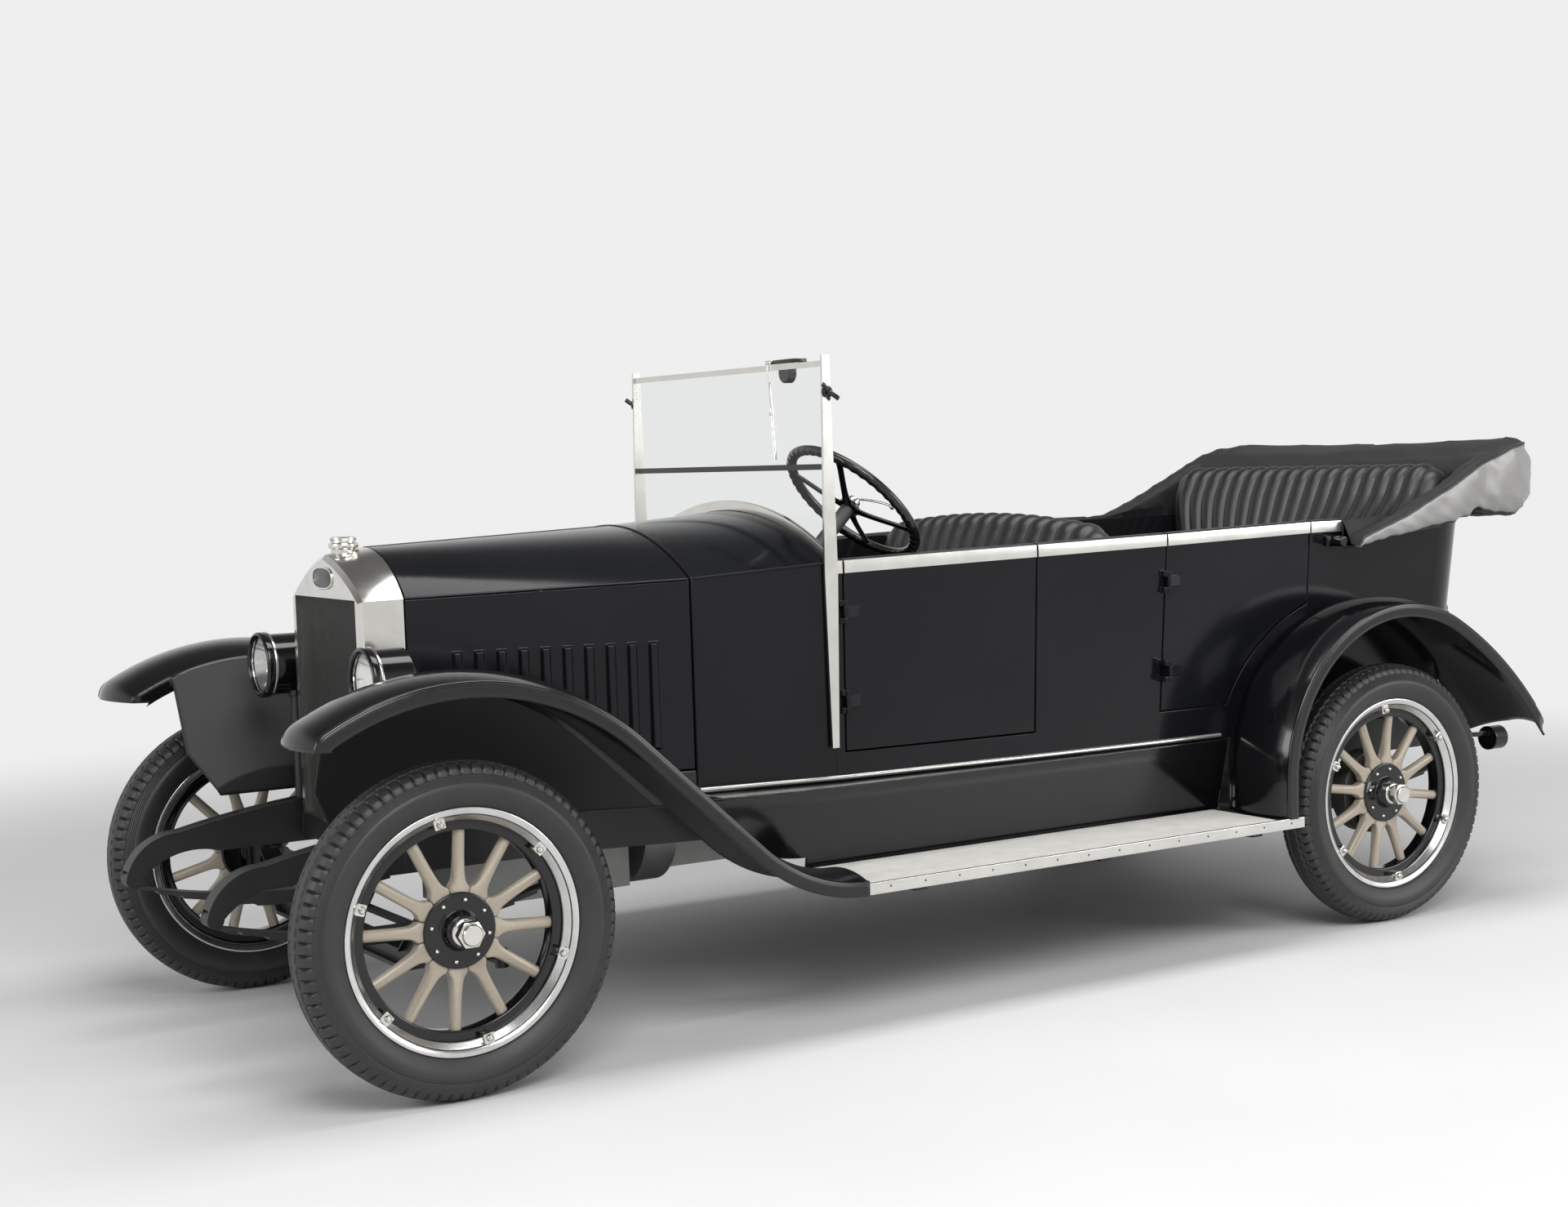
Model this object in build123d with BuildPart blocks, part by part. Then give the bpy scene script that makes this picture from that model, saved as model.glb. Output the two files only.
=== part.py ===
"""Open four-door touring car of the 1920s, built as separate pieces in millimetres.

X runs forward from the middle of the car's length, Y to the car's left and Z up from the
ground, on which the tyres stand.
"""

import os
from math import asin, cos, degrees, radians, sin, sqrt, tan

from build123d import *

os.makedirs("parts", exist_ok=True)

# Running gear
wheelbase = 2950
front_axle_x = 1655
rear_axle_x = front_axle_x - wheelbase
half_track = 702
wheel_radius = 382
tyre_width = 129
tread_width = 104
shoulder_drop = 14
rim_seat_radius = 262
rim_flange_radius = 281
rim_half_width = 46
rim_wall = 5
spoke_count = 12
spoke_radius = 14
spoke_root_radius = 19
spoke_plane = -5
felloe_inner_radius = 226
felloe_half_width = 22
hub_flange_radius = 87
hub_flange_wall = 6
hub_barrel_radius = 31
hub_cap_flats = 60
hub_cap_face = 89
spindle_radius = 15
spindle_reach = 45
clamp_count = 6
drum_radius = 125
drum_depth = 54
drum_wall = 8

# Clearances
fit = 0.3
pin_gap = 0.4
door_gap = 5
panel_gap = 5

# Chassis frame
rail_top = 575
rail_depth = 120
rail_width = 50
rail_web = 6
rail_flange = 8
front_rail_y = 321
rear_rail_y = 430
rail_bottom = rail_top - rail_depth
spring_width = 38
leaf_wall = 6
leaf_count = 6
eye_radius = 20
eye_pin = 8
spring_eye_z = 405
front_spring_reach = 430
front_spring_top = 330
rear_spring_reach = 540
axle_tube_radius = 38
pad_height = 12
beam_width = 50
beam_depth = 50
beam_flange = 10
beam_web = 18
# The rails start to widen behind the front springs' rear eyes and end behind the back springs
eye_margin = 25
taper_length = 500
rail_taper_front = front_axle_x - front_spring_reach - eye_margin
rail_taper_rear = rail_taper_front - taper_length
rail_rear_x = rear_axle_x - rear_spring_reach - eye_radius - eye_margin
member_width = 60
member_depth = 45

handle_z = 500
handle_bore_radius = 12

# Steering
kingpin_y = 600
kingpin_radius = 10
boss_radius = 24
boss_height = 60
ear_height = 20
steering_arm = 150
tie_rod_z = 270
tie_rod_radius = 11
steering_wheel_place = (296, 300, 1290)
steering_wheel_radius = 215
steering_wheel_grip = 12
column_rake = 45
column_radius = 20
column_length = 995

# Body
wall = 32
cowl_front_x = 875
cowl_rear_x = 495
body_rear_x = -1850
body_corner = 180
body_bottom = rail_top
floor_wall = 25
floor_top = body_bottom + floor_wall
belt_z = 1190
rail_front_z = 1143
rail_rear_z = 1185
rail_level_x = -1110
# Body stations: x, half width at the belt, how far the foot is tucked in
body_stations = [
    (cowl_front_x, 428, 0),
    (cowl_rear_x, 501, 8),
    (-170, 560, 30),
    (-560, 590, 45),
    (-1120, 600, 45),
    (body_rear_x + body_corner, 600, 45),
]
cowl_front_shoulder = 1118
cowl_front_ridge = 1247
cowl_rear_ridge = 1276
firewall = 15
dash_bottom = 975
# Doors: name, front edge x, rear edge x, bottom z, hinge heights
doors = [
    ("front", 470, -130, 648, (1014, 782)),
    ("rear", -560, -1112, 670, (1041, 790)),
]
hinge_stand = 8
hinge_radius = 7
hinge_half = 15

# Fenders and running boards
fender_outer_y = 825
fender_wall = 4
fender_flange = 32
crown_y = 712
crown_radius = 296
fender_inner_y = 565
fender_foot_y = 405
fender_foot_drop = 300
fender_foot_length = 70
front_arch_x = 1662
front_arch_z = 303
front_arch_radius = 640
nose_start = 30
nose_radius = 42
nose_end = 88
nose_corners = (60, 100)
nose_lip = 38
nose_lip_start = 18
valance_front_x = 1885
fender_slope = 42.7
tail_radius = 430
board_top = 368
board_wall = 28
board_inner_y = 530
board_cover = 2
board_edge = 14
board_tuck = 57
rear_arch_x = rear_axle_x + 25
rear_arch_z = 470
rear_arch_radius = 472
board_rear_x = rear_arch_x + rear_arch_radius - board_tuck
rear_arch_turn = 29.2
rear_tail_radius = 1200
rear_tail_turn = 50
rear_tail_length = 100
arch_margin = 30
bracket_places = (450, -150, -700)
apron_top_y = 575
apron_front_x = 960
apron_wall = 4
ledge_top = 635

# Bonnet and radiator
bonnet_wall = 4
bonnet_bottom = 640
bonnet_front_y = 238
bonnet_front_shoulder = 1100
bonnet_front_ridge = 1220
hinge_rod_radius = 4
louvre_count = 10
louvre_pitch = 54
louvre_first = 96
louvre_bottom = 695
louvre_top = 967
louvre_width = 26
louvre_stand = 11
radiator_rear_x = 1560
radiator_depth = 108
radiator_half_width = 232
radiator_shoulder = 1098
radiator_apex = 1205
radiator_bottom = 530
core_half_width = 204
core_bottom = 548
core_top = 1100
core_depth = 75
core_recess = 8
cap_x = radiator_rear_x + radiator_depth / 2
cap_radius = 37
cap_top = 1249
neck_top = bonnet_front_ridge + 0.5

# Engine
gearbox_rear_x = 560
# Block pieces: rear x, front x, half width, bottom and top
engine_blocks = [
    (885, 1440, 150, 440, 1040),
    (910, 1400, 110, 300, 440),
    (gearbox_rear_x, 790, 85, 330, 520),
]
# Clutch housing: rear x, front x, radius, height of its middle and of its flat top
clutch_housing = (790, 885, 165, 455, 520)
engine_feet = (1130, 1400)
foot_width = 50
foot_wall = 16
axle_housing_radius = 128
pinion_radius = 52
pinion_reach = 190
shaft_radius = 30
exhaust_x = 1050
exhaust_y = -235
exhaust_port_z = 700
exhaust_z = 420
exhaust_lift = 65
exhaust_radius = 22
silencer_radius = 62
silencer_rear_x = -250
silencer_length = 560

# Lamps
lamp_x = 1693
lamp_y = 360
lamp_z = 915
lamp_radius = 85
lamp_body_radius = 79
lamp_length = 140
lamp_wall = 5
lamp_lead = 25
lamp_bulge = 40
lamp_seat_z = lamp_z - lamp_body_radius - 4
lamp_rim_depth = 16
lamp_post_y = 335
lamp_post_radius = 14

# Windscreen
screen_x = 507
post_inner_y = 502
post_wall = 8
mid_bar_z = 1388
top_bar_z = 1650
screen_top = top_bar_z + 21
bar_height = 15
glass_wall = 5
post_foot_z = 665
wiper_y = 294
wiper_radius = 27
wiper_depth = 26
wiper_arm_y = 243

# Seats and folded hood
seat_gap = 0.5
cushion_bottom = 760
cushion_top = 900
# Seat boxes: back x, front x, half width
seat_boxes_plan = [(-310, 150, 455), (-1560, -1080, 500)]
# Seats: name, half width, half width of the top roll, then the cushion's back and front x,
# the back's foot and head x, its thickness, and its roll's height and radius
seats = [
    ("front", 468, 530, (-300, 190, -250, -340, 120, 1160, 60)),
    ("rear", 512, 588, (-1550, -1060, -1490, -1640, 110, 1262, 70)),
]
hood_outer_y = 690
hood_inner_y = 606
hood_front_x = -1780
# Side view of the folded hood in its bag, from the front of the arm round the roll
hood_outline = [
    (-1229, 1109),
    (-1247, 1144),
    (-1438, 1210),
    (-1640, 1300),
    (-1760, 1362),
    (-1910, 1419),
    (-1985, 1434),
    (-2060, 1420),
    (-2105, 1350),
    (-2105, 1262),
    (-2062, 1185),
    (-1960, 1168),
    (-1869, 1170),
    (-1759, 1198),
    (-1719, 1172),
    (-1437, 1137),
]
hood_corner = 190
iron_x = -1195
iron_z = 1128
iron_rear_x = hood_front_x + 120
iron_wall = 8
iron_pivot_radius = 15

# Tail lamp and spare wheel
tail_lamp_radius = 38
tail_lamp_depth = 55
tail_arm_wall = 14
tail_arm_reach = 75
spare_z = 760


def write(piece, name):
    """Label one finished piece and write it to its own file."""
    piece.part.label = name
    export_step(piece.part, f"parts/{name}.step")


def half_width(x, z=belt_z):
    """Half width of the body at a station x and height z."""
    for (x0, w0, t0), (x1, w1, t1) in zip(body_stations, body_stations[1:]):
        if x >= x1:
            break
    share = (x - x0) / (x1 - x0)
    tuck = (t0 + share * (t1 - t0)) * (belt_z - z) / (belt_z - body_bottom)
    return w0 + share * (w1 - w0) - tuck


def mirrored(piece):
    """The same piece on the other side of the car."""
    with BuildPart() as other:
        mirror(piece.part, about=Plane.XZ)
    return other


# Tyre, a closed ring with a crowned tread, turned about the axle
with BuildPart() as tyre:
    with BuildSketch(Plane.XY):
        with BuildLine():
            bead = rim_half_width - rim_wall - fit
            flank = (rim_flange_radius + wheel_radius) / 2
            shoulder = wheel_radius - shoulder_drop
            for side in (-1, 1):
                Line((rim_seat_radius + fit, side * bead), (rim_flange_radius, side * bead))
                ThreePointArc(
                    (rim_flange_radius, side * bead),
                    (flank, side * tyre_width / 2),
                    (shoulder, side * tread_width / 2),
                )
            ThreePointArc(
                (shoulder, -tread_width / 2), (wheel_radius, 0), (shoulder, tread_width / 2)
            )
            Line((rim_seat_radius + fit, -bead), (rim_seat_radius + fit, bead))
        make_face()
    revolve(axis=Axis.Y)

# Wooden wheel: felloe, hub disc and twelve tapered spokes
felloe_radius = rim_seat_radius - rim_wall - fit
with BuildPart() as wood_wheel:
    with BuildSketch(Plane.XY):
        with Locations(((felloe_inner_radius + felloe_radius) / 2, spoke_plane)):
            Rectangle(felloe_radius - felloe_inner_radius, 2 * felloe_half_width)
        with Locations(((hub_barrel_radius + fit + hub_flange_radius) / 2, spoke_plane)):
            Rectangle(hub_flange_radius - hub_barrel_radius - fit, 2 * spoke_radius)
    revolve(axis=Axis.Y)
    for spoke in range(spoke_count):
        turn = radians(spoke * 360 / spoke_count)
        outward = (sin(turn), 0, cos(turn))
        for radius, reach in (
            (spoke_root_radius, hub_barrel_radius * 2),
            (spoke_radius, felloe_inner_radius + 4),
        ):
            at = (outward[0] * reach, spoke_plane, outward[2] * reach)
            with BuildSketch(Plane(origin=at, z_dir=outward, x_dir=(0, 1, 0))):
                Circle(radius)
        loft()
    # The roots are planed flat between the two hub flanges
    with BuildSketch(Plane.XZ.offset(-spoke_plane - spoke_radius)):
        Circle(hub_flange_radius + 12)
    extrude(amount=-spoke_root_radius, mode=Mode.SUBTRACT)
    with BuildSketch(Plane.XZ.offset(-spoke_plane + spoke_radius)):
        Circle(hub_flange_radius + 12)
    extrude(amount=spoke_root_radius, mode=Mode.SUBTRACT)
    with BuildSketch(Plane.XZ):
        Circle(hub_barrel_radius + fit)
    extrude(amount=3 * spoke_root_radius, both=True, mode=Mode.SUBTRACT)


flange = spoke_plane + spoke_radius + fit
drum_face = spoke_plane - spoke_radius - fit - hub_flange_wall


def wheel_metal(drum):
    """Rim with its clamps, and the hub with flanges, cap and brake drum at the back axle."""
    with BuildPart() as metal:
        with BuildSketch(Plane.XY):
            base = (rim_seat_radius - rim_wall, rim_seat_radius)
            with Locations(((base[0] + base[1]) / 2, 0)):
                Rectangle(rim_wall, 2 * rim_half_width)
            for side in (-1, 1):
                edge = side * (rim_half_width - rim_wall / 2)
                with Locations(((base[0] + rim_flange_radius) / 2, edge)):
                    Rectangle(rim_flange_radius - base[0], rim_wall)
        revolve(axis=Axis.Y)
        clamp_face = spoke_plane + felloe_half_width + fit
        with BuildSketch(Plane.XZ.offset(-clamp_face)):
            with PolarLocations(felloe_radius - 8, clamp_count, start_angle=180 / clamp_count):
                Rectangle(22, 30)
        extrude(amount=-rim_wall)
        with BuildSketch(Plane.XY):
            with BuildLine():
                Polyline(
                    (0, hub_cap_face - 30),
                    (hub_barrel_radius, hub_cap_face - 30),
                    (hub_barrel_radius, flange + hub_flange_wall),
                    (hub_flange_radius, flange + hub_flange_wall),
                    (hub_flange_radius, flange),
                    (hub_barrel_radius, flange),
                    (hub_barrel_radius, drum_face + hub_flange_wall),
                    (hub_flange_radius, drum_face + hub_flange_wall),
                    (hub_flange_radius, drum_face),
                    (hub_barrel_radius, drum_face),
                    (hub_barrel_radius, -spindle_reach),
                    (spindle_radius, -spindle_reach),
                    (spindle_radius, spindle_reach + 5),
                    (0, spindle_reach + 5),
                    close=True,
                )
            make_face()
        revolve(axis=Axis.Y)
        with BuildSketch(Plane.XZ.offset(-hub_cap_face)):
            RegularPolygon(radius=hub_cap_flats / 2, side_count=6, major_radius=False)
        extrude(amount=30)
        if drum:
            with BuildSketch(Plane.XY):
                with BuildLine():
                    Polyline(
                        (hub_barrel_radius - 2, drum_face),
                        (drum_radius, drum_face),
                        (drum_radius, drum_face - drum_depth),
                        (drum_radius - drum_wall, drum_face - drum_depth),
                        (drum_radius - drum_wall, drum_face - drum_wall),
                        (hub_barrel_radius - 2, drum_face - drum_wall),
                        close=True,
                    )
                make_face()
            revolve(axis=Axis.Y)
    return metal


for axle, axle_x, drum in (("front", front_axle_x, False), ("rear", rear_axle_x, True)):
    metal = wheel_metal(drum)
    for side, way in (("left", 1), ("right", -1)):
        for name, master in (("tyre", tyre), ("wood_wheel", wood_wheel), ("wheel_metal", metal)):
            shape = master if way > 0 else mirrored(master)
            with BuildPart() as placed:
                with Locations((axle_x, way * half_track, wheel_radius)):
                    add(shape.part)
            write(placed, f"{name}_{axle}_{side}")


# Chassis frame: two pressed rails, wide at the back, drawn in plan and cut to the side view
dumb_iron_x = front_axle_x + front_spring_reach
with BuildPart() as chassis_frame:
    with BuildSketch(Plane.XY.offset(spring_eye_z - 2 * eye_radius)):
        with BuildLine():
            near, far = front_rail_y - rail_width / 2, rear_rail_y - rail_width / 2
            Polyline(
                (dumb_iron_x + 2 * eye_radius, near),
                (rail_taper_front, near),
                (rail_taper_rear, far),
                (rail_rear_x, far),
                (rail_rear_x, far + rail_width),
                (rail_taper_rear, far + rail_width),
                (rail_taper_front, near + rail_width),
                (dumb_iron_x + 2 * eye_radius, near + rail_width),
                close=True,
            )
        make_face()
        mirror(about=Plane.XZ)
    extrude(amount=rail_top - spring_eye_z + 2 * eye_radius)
    with BuildSketch(Plane.XZ):
        with BuildLine():
            horn = dumb_iron_x
            neck = (horn - 6 * eye_radius, spring_eye_z + 110)
            bend = ((radiator_rear_x + neck[0]) / 2 + 7, rail_top - 23)
            Line((rail_rear_x, rail_top), (radiator_rear_x, rail_top))
            ThreePointArc((radiator_rear_x, rail_top), bend, neck)
            ThreePointArc(
                neck,
                (horn - eye_radius, spring_eye_z + 72),
                (horn + eye_radius, spring_eye_z),
            )
            ThreePointArc(
                (horn + eye_radius, spring_eye_z),
                (horn, spring_eye_z - eye_radius),
                (horn - eye_radius, spring_eye_z),
            )
            heel = (horn - 11 * eye_radius, rail_bottom)
            ThreePointArc(
                (horn - eye_radius, spring_eye_z),
                (horn - 4.5 * eye_radius, rail_bottom - 3),
                heel,
            )
            Line(heel, (rail_rear_x, rail_bottom))
            Line((rail_rear_x, rail_bottom), (rail_rear_x, rail_top))
        make_face()
    extrude(amount=rear_rail_y + rail_width, both=True, mode=Mode.INTERSECT)
    # The channel is open on its inner side
    with BuildSketch(Plane.XY.offset(rail_bottom + rail_flange)):
        with BuildLine():
            Polyline(
                (radiator_rear_x, near - 1),
                (rail_taper_front, near - 1),
                (rail_taper_rear, far - 1),
                (rail_rear_x - 1, far - 1),
                (rail_rear_x - 1, far + rail_width - rail_web),
                (rail_taper_rear, far + rail_width - rail_web),
                (rail_taper_front, near + rail_width - rail_web),
                (radiator_rear_x, near + rail_width - rail_web),
                close=True,
            )
        make_face()
        mirror(about=Plane.XZ)
    extrude(amount=rail_depth - 2 * rail_flange, mode=Mode.SUBTRACT)
    # Cross members: x, half length, bottom and top
    member_top = rail_top - 5
    member_low = member_top - member_depth
    for member_x, reach, low, high in (
        (cap_x, front_rail_y, handle_z - member_width / 2, radiator_bottom),
        (rail_taper_rear - 180, rear_rail_y, member_low, member_top),
        (rear_axle_x + 895, rear_rail_y, member_low, member_top),
        (rear_axle_x + 215, rear_rail_y, member_low, member_top),
        (rail_rear_x + 50, rear_rail_y, member_low - 25, member_top),
    ):
        with BuildSketch(Plane.XY.offset(low)):
            with Locations((member_x, 0)):
                Rectangle(member_width, 2 * reach)
        extrude(amount=high - low)
    # Bore for the starting handle through the front cross member
    with BuildSketch(Plane.YZ.offset(radiator_rear_x)):
        with Locations((0, handle_z)):
            Circle(handle_bore_radius)
    extrude(amount=radiator_depth, mode=Mode.SUBTRACT)
    # Forks for the spring eyes, each with its pin
    for eye_x, eye_y in (
        (front_axle_x - front_spring_reach, front_rail_y),
        (rear_axle_x + rear_spring_reach, rear_rail_y),
        (rear_axle_x - rear_spring_reach, rear_rail_y),
    ):
        for side in (-1, 1):
            with BuildSketch(Plane.XZ.offset(side * eye_y)):
                with Locations((eye_x, spring_eye_z)):
                    Circle(eye_radius)
                with Locations((eye_x, (spring_eye_z + rail_bottom + rail_flange) / 2)):
                    Rectangle(2 * eye_radius, rail_bottom + rail_flange - spring_eye_z)
            extrude(amount=rail_width / 2, both=True)
    slot = spring_width / 2 + fit
    for eye_x, eye_y in (
        (dumb_iron_x, front_rail_y),
        (front_axle_x - front_spring_reach, front_rail_y),
        (rear_axle_x + rear_spring_reach, rear_rail_y),
        (rear_axle_x - rear_spring_reach, rear_rail_y),
    ):
        for side in (-1, 1):
            with BuildSketch(Plane.XZ.offset(side * eye_y)):
                with Locations((eye_x, spring_eye_z - 6)):
                    Rectangle(6 * eye_radius, 2 * eye_radius + 16)
            extrude(amount=slot, both=True, mode=Mode.SUBTRACT)
            with BuildSketch(Plane.XZ.offset(side * eye_y)):
                with Locations((eye_x, spring_eye_z)):
                    Circle(eye_pin)
            extrude(amount=rail_width / 2, both=True)
    # Brackets under the running boards
    for bracket_x in bracket_places:
        for side in (-1, 1):
            outer = rear_rail_y + rail_width / 2
            with BuildSketch(Plane.YZ.offset(bracket_x)):
                with BuildLine():
                    Polyline(
                        (side * (outer - rail_web), rail_bottom + 80),
                        (side * (outer + 8), rail_bottom + 80),
                        (side * (outer + 8), board_top - board_wall),
                        (side * (fender_outer_y - 30), board_top - board_wall),
                        (side * (fender_outer_y - 30), board_top - board_wall - 12),
                        (side * (outer - rail_web), board_top - board_wall - 30),
                        close=True,
                    )
                make_face()
            extrude(amount=18, both=True)
    # Posts that carry the headlamps
    for side in (-1, 1):
        with BuildSketch(Plane.XY.offset(rail_bottom + 20)):
            with Locations((lamp_x - 60, side * lamp_post_y)):
                Circle(lamp_post_radius)
        extrude(amount=lamp_seat_z - rail_bottom - 20)
write(chassis_frame, "chassis_frame")


# Leaf springs, arcs about one centre above the axle, with an eye at each end
def leaf_spring(middle_x, middle_y, top_z, reach):
    rise = spring_eye_z - eye_radius + leaf_wall - top_z
    radius = (reach**2 + rise**2) / (2 * rise)
    with BuildSketch(Plane.XZ.offset(-middle_y)) as side_view:
        centre = (middle_x, top_z + radius)
        for leaf in range(leaf_count):
            half = degrees(asin(reach * (1 - 0.88 * leaf / leaf_count) / radius))
            with BuildLine():
                upper = CenterArc(centre, radius + leaf * leaf_wall, 270 - half, 2 * half)
                lower = CenterArc(centre, radius + (leaf + 1) * leaf_wall, 270 - half, 2 * half)
                Line(upper @ 0, lower @ 0)
                Line(upper @ 1, lower @ 1)
            make_face()
        with Locations((middle_x - reach, spring_eye_z), (middle_x + reach, spring_eye_z)):
            Circle(eye_radius - fit)
            Circle(eye_pin + fit, mode=Mode.SUBTRACT)
    return side_view.sketch


rear_spring_top = wheel_radius - axle_tube_radius - pad_height
with BuildPart() as springs:
    for side in (-1, 1):
        for place in (
            (front_axle_x, side * front_rail_y, front_spring_top, front_spring_reach),
            (rear_axle_x, side * rear_rail_y, rear_spring_top, rear_spring_reach),
        ):
            extrude(leaf_spring(*place), amount=spring_width / 2, both=True)
write(springs, "leaf_springs")

# Front axle: a dropped beam with an upright boss at each end for the kingpin
seat_z = front_spring_top - leaf_count * leaf_wall
beam_low = seat_z - beam_depth
beam_rise = kingpin_y - 8 * boss_radius
with BuildPart() as front_axle:
    with BuildSketch(Plane.YZ.offset(front_axle_x)):
        with BuildLine():
            Polyline(
                (0, seat_z),
                (beam_rise, seat_z),
                (kingpin_y - 60, wheel_radius + boss_radius - 2),
                (kingpin_y, wheel_radius + boss_radius - 2),
                (kingpin_y, wheel_radius - boss_radius + 2),
                (kingpin_y - 35, wheel_radius - boss_radius + 2),
                (beam_rise + 30, beam_low),
                (0, beam_low),
                close=True,
            )
        make_face()
        mirror(about=Plane.YZ)
    extrude(amount=beam_width / 2, both=True)
    # The beam is an I in section, hollowed on both faces
    for face in (-1, 1):
        with BuildSketch(Plane.YZ.offset(front_axle_x + face * beam_width / 2)):
            with BuildLine():
                Polyline(
                    (0, seat_z - beam_flange),
                    (beam_rise - 6, seat_z - beam_flange),
                    (kingpin_y - 62, wheel_radius + beam_flange),
                    (kingpin_y - 48, wheel_radius - beam_flange),
                    (beam_rise + 26, beam_low + beam_flange),
                    (0, beam_low + beam_flange),
                    close=True,
                )
            make_face()
            mirror(about=Plane.YZ)
        extrude(amount=-face * (beam_width - beam_web) / 2, mode=Mode.SUBTRACT)
    for side in (-1, 1):
        with BuildSketch(Plane.XY.offset(wheel_radius - boss_height / 2)):
            with Locations((front_axle_x, side * kingpin_y)):
                Circle(boss_radius)
        extrude(amount=boss_height)
        with BuildSketch(Plane.XY.offset(wheel_radius - boss_height / 2)):
            with Locations((front_axle_x, side * kingpin_y)):
                Circle(kingpin_radius + fit)
        extrude(amount=boss_height, mode=Mode.SUBTRACT)
write(front_axle, "front_axle")

# Steering knuckle: a fork round the boss, the kingpin, the wheel spindle and the steering arm
arm_z = tie_rod_z + 22
with BuildPart() as knuckle_left:
    back = kingpin_y + boss_radius + 4
    with BuildSketch(Plane.XY.offset(arm_z - 8)):
        with Locations((front_axle_x, back + 12)):
            Rectangle(56, 24)
    extrude(amount=wheel_radius + boss_height / 2 + ear_height + pin_gap - arm_z + 8)
    for low in (
        wheel_radius - boss_height / 2 - pin_gap - ear_height,
        wheel_radius + boss_height / 2 + pin_gap,
    ):
        with BuildSketch(Plane.XY.offset(low)):
            with Locations((front_axle_x, kingpin_y)):
                Circle(boss_radius + 2)
            with Locations((front_axle_x, kingpin_y + (boss_radius + 10) / 2)):
                Rectangle(44, boss_radius + 10)
        extrude(amount=ear_height)
    with BuildSketch(Plane.XY.offset(wheel_radius - boss_height / 2 - ear_height)):
        with Locations((front_axle_x, kingpin_y)):
            Circle(kingpin_radius)
    extrude(amount=boss_height + 2 * ear_height)
    with BuildSketch(Plane.XZ.offset(-back - 12)):
        with Locations((front_axle_x, wheel_radius)):
            Circle(spindle_radius - fit)
    extrude(amount=-(half_track + spindle_reach - back - 12))
    with BuildSketch(Plane.XY.offset(arm_z - 8)):
        with BuildLine():
            Polyline(
                (front_axle_x + 10, back + 4),
                (front_axle_x + 10, back + 20),
                (front_axle_x - 30, back + 20),
                (front_axle_x - steering_arm, kingpin_y + 14),
                (front_axle_x - steering_arm, kingpin_y - 14),
                (front_axle_x - steering_arm + 30, kingpin_y - 10),
                close=True,
            )
        make_face()
        with Locations((front_axle_x - steering_arm, kingpin_y)):
            Circle(14)
    extrude(amount=16)
    with BuildSketch(Plane.XY.offset(tie_rod_z - 14)):
        with Locations((front_axle_x - steering_arm, kingpin_y)):
            Circle(7)
    extrude(amount=arm_z - tie_rod_z + 10)
write(knuckle_left, "knuckle_left")
write(mirrored(knuckle_left), "knuckle_right")

# Track rod with an eye at each end
eye_half = tie_rod_radius + 2
with BuildPart() as tie_rod:
    with BuildSketch(Plane.XZ):
        with Locations((front_axle_x - steering_arm, tie_rod_z)):
            Circle(tie_rod_radius)
    extrude(amount=kingpin_y - 12, both=True)
    for side in (-1, 1):
        with BuildSketch(Plane.XY.offset(tie_rod_z - eye_half)):
            with Locations((front_axle_x - steering_arm, side * kingpin_y)):
                Circle(16)
                Circle(7 + fit, mode=Mode.SUBTRACT)
        extrude(amount=2 * eye_half)
write(tie_rod, "tie_rod")

# Rear axle: tube, round housing, spring pads, backing plates and the two stubs
plate_y = half_track + drum_face - drum_depth - 6
with BuildPart() as rear_axle:
    with BuildSketch(Plane.XZ):
        with Locations((rear_axle_x, wheel_radius)):
            Circle(axle_tube_radius)
    extrude(amount=plate_y, both=True)
    with Locations((rear_axle_x, 0, wheel_radius)):
        Sphere(axle_housing_radius)
    with BuildSketch(Plane.YZ.offset(rear_axle_x)):
        with Locations((0, wheel_radius)):
            Circle(pinion_radius)
    extrude(amount=pinion_reach)
    for side in (-1, 1):
        with BuildSketch(Plane.XY.offset(rear_spring_top + seat_gap)):
            with Locations((rear_axle_x, side * rear_rail_y)):
                Rectangle(80, spring_width + 10)
        extrude(amount=axle_tube_radius)
        with BuildSketch(Plane.XZ.offset(-side * plate_y)):
            with Locations((rear_axle_x, wheel_radius)):
                Circle(drum_radius - 15)
        extrude(amount=side * 6)
        with BuildSketch(Plane.XZ.offset(-side * plate_y)):
            with Locations((rear_axle_x, wheel_radius)):
                Circle(spindle_radius - fit)
        extrude(amount=-side * (half_track + spindle_reach - plate_y))
write(rear_axle, "rear_axle")

# Engine, clutch housing and gearbox as one plain solid on its four feet
with BuildPart() as engine:
    for rear, front, half, low, high in engine_blocks:
        with BuildSketch(Plane.XY.offset(low)):
            with Locations(((rear + front) / 2, 0)):
                Rectangle(front - rear, 2 * half)
        extrude(amount=high - low)
    rear, front, radius, middle, flat = clutch_housing
    with BuildSketch(Plane.YZ.offset(rear)):
        with Locations((0, middle)):
            Circle(radius)
        with Locations((0, flat + radius)):
            Rectangle(4 * radius, 2 * radius, mode=Mode.SUBTRACT)
    extrude(amount=front - rear)
    for foot_x in engine_feet:
        with BuildSketch(Plane.XY.offset(rail_top)):
            with Locations((foot_x, 0)):
                Rectangle(foot_width, 2 * (front_rail_y + 10))
        extrude(amount=foot_wall)
write(engine, "engine")

# Propeller shaft, level with the back axle
with BuildPart() as propeller_shaft:
    with BuildSketch(Plane.YZ.offset(rear_axle_x + pinion_reach + fit)):
        with Locations((0, wheel_radius)):
            Circle(shaft_radius)
    extrude(amount=gearbox_rear_x - rear_axle_x - pinion_reach - 2 * fit)
write(propeller_shaft, "propeller_shaft")

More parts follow.
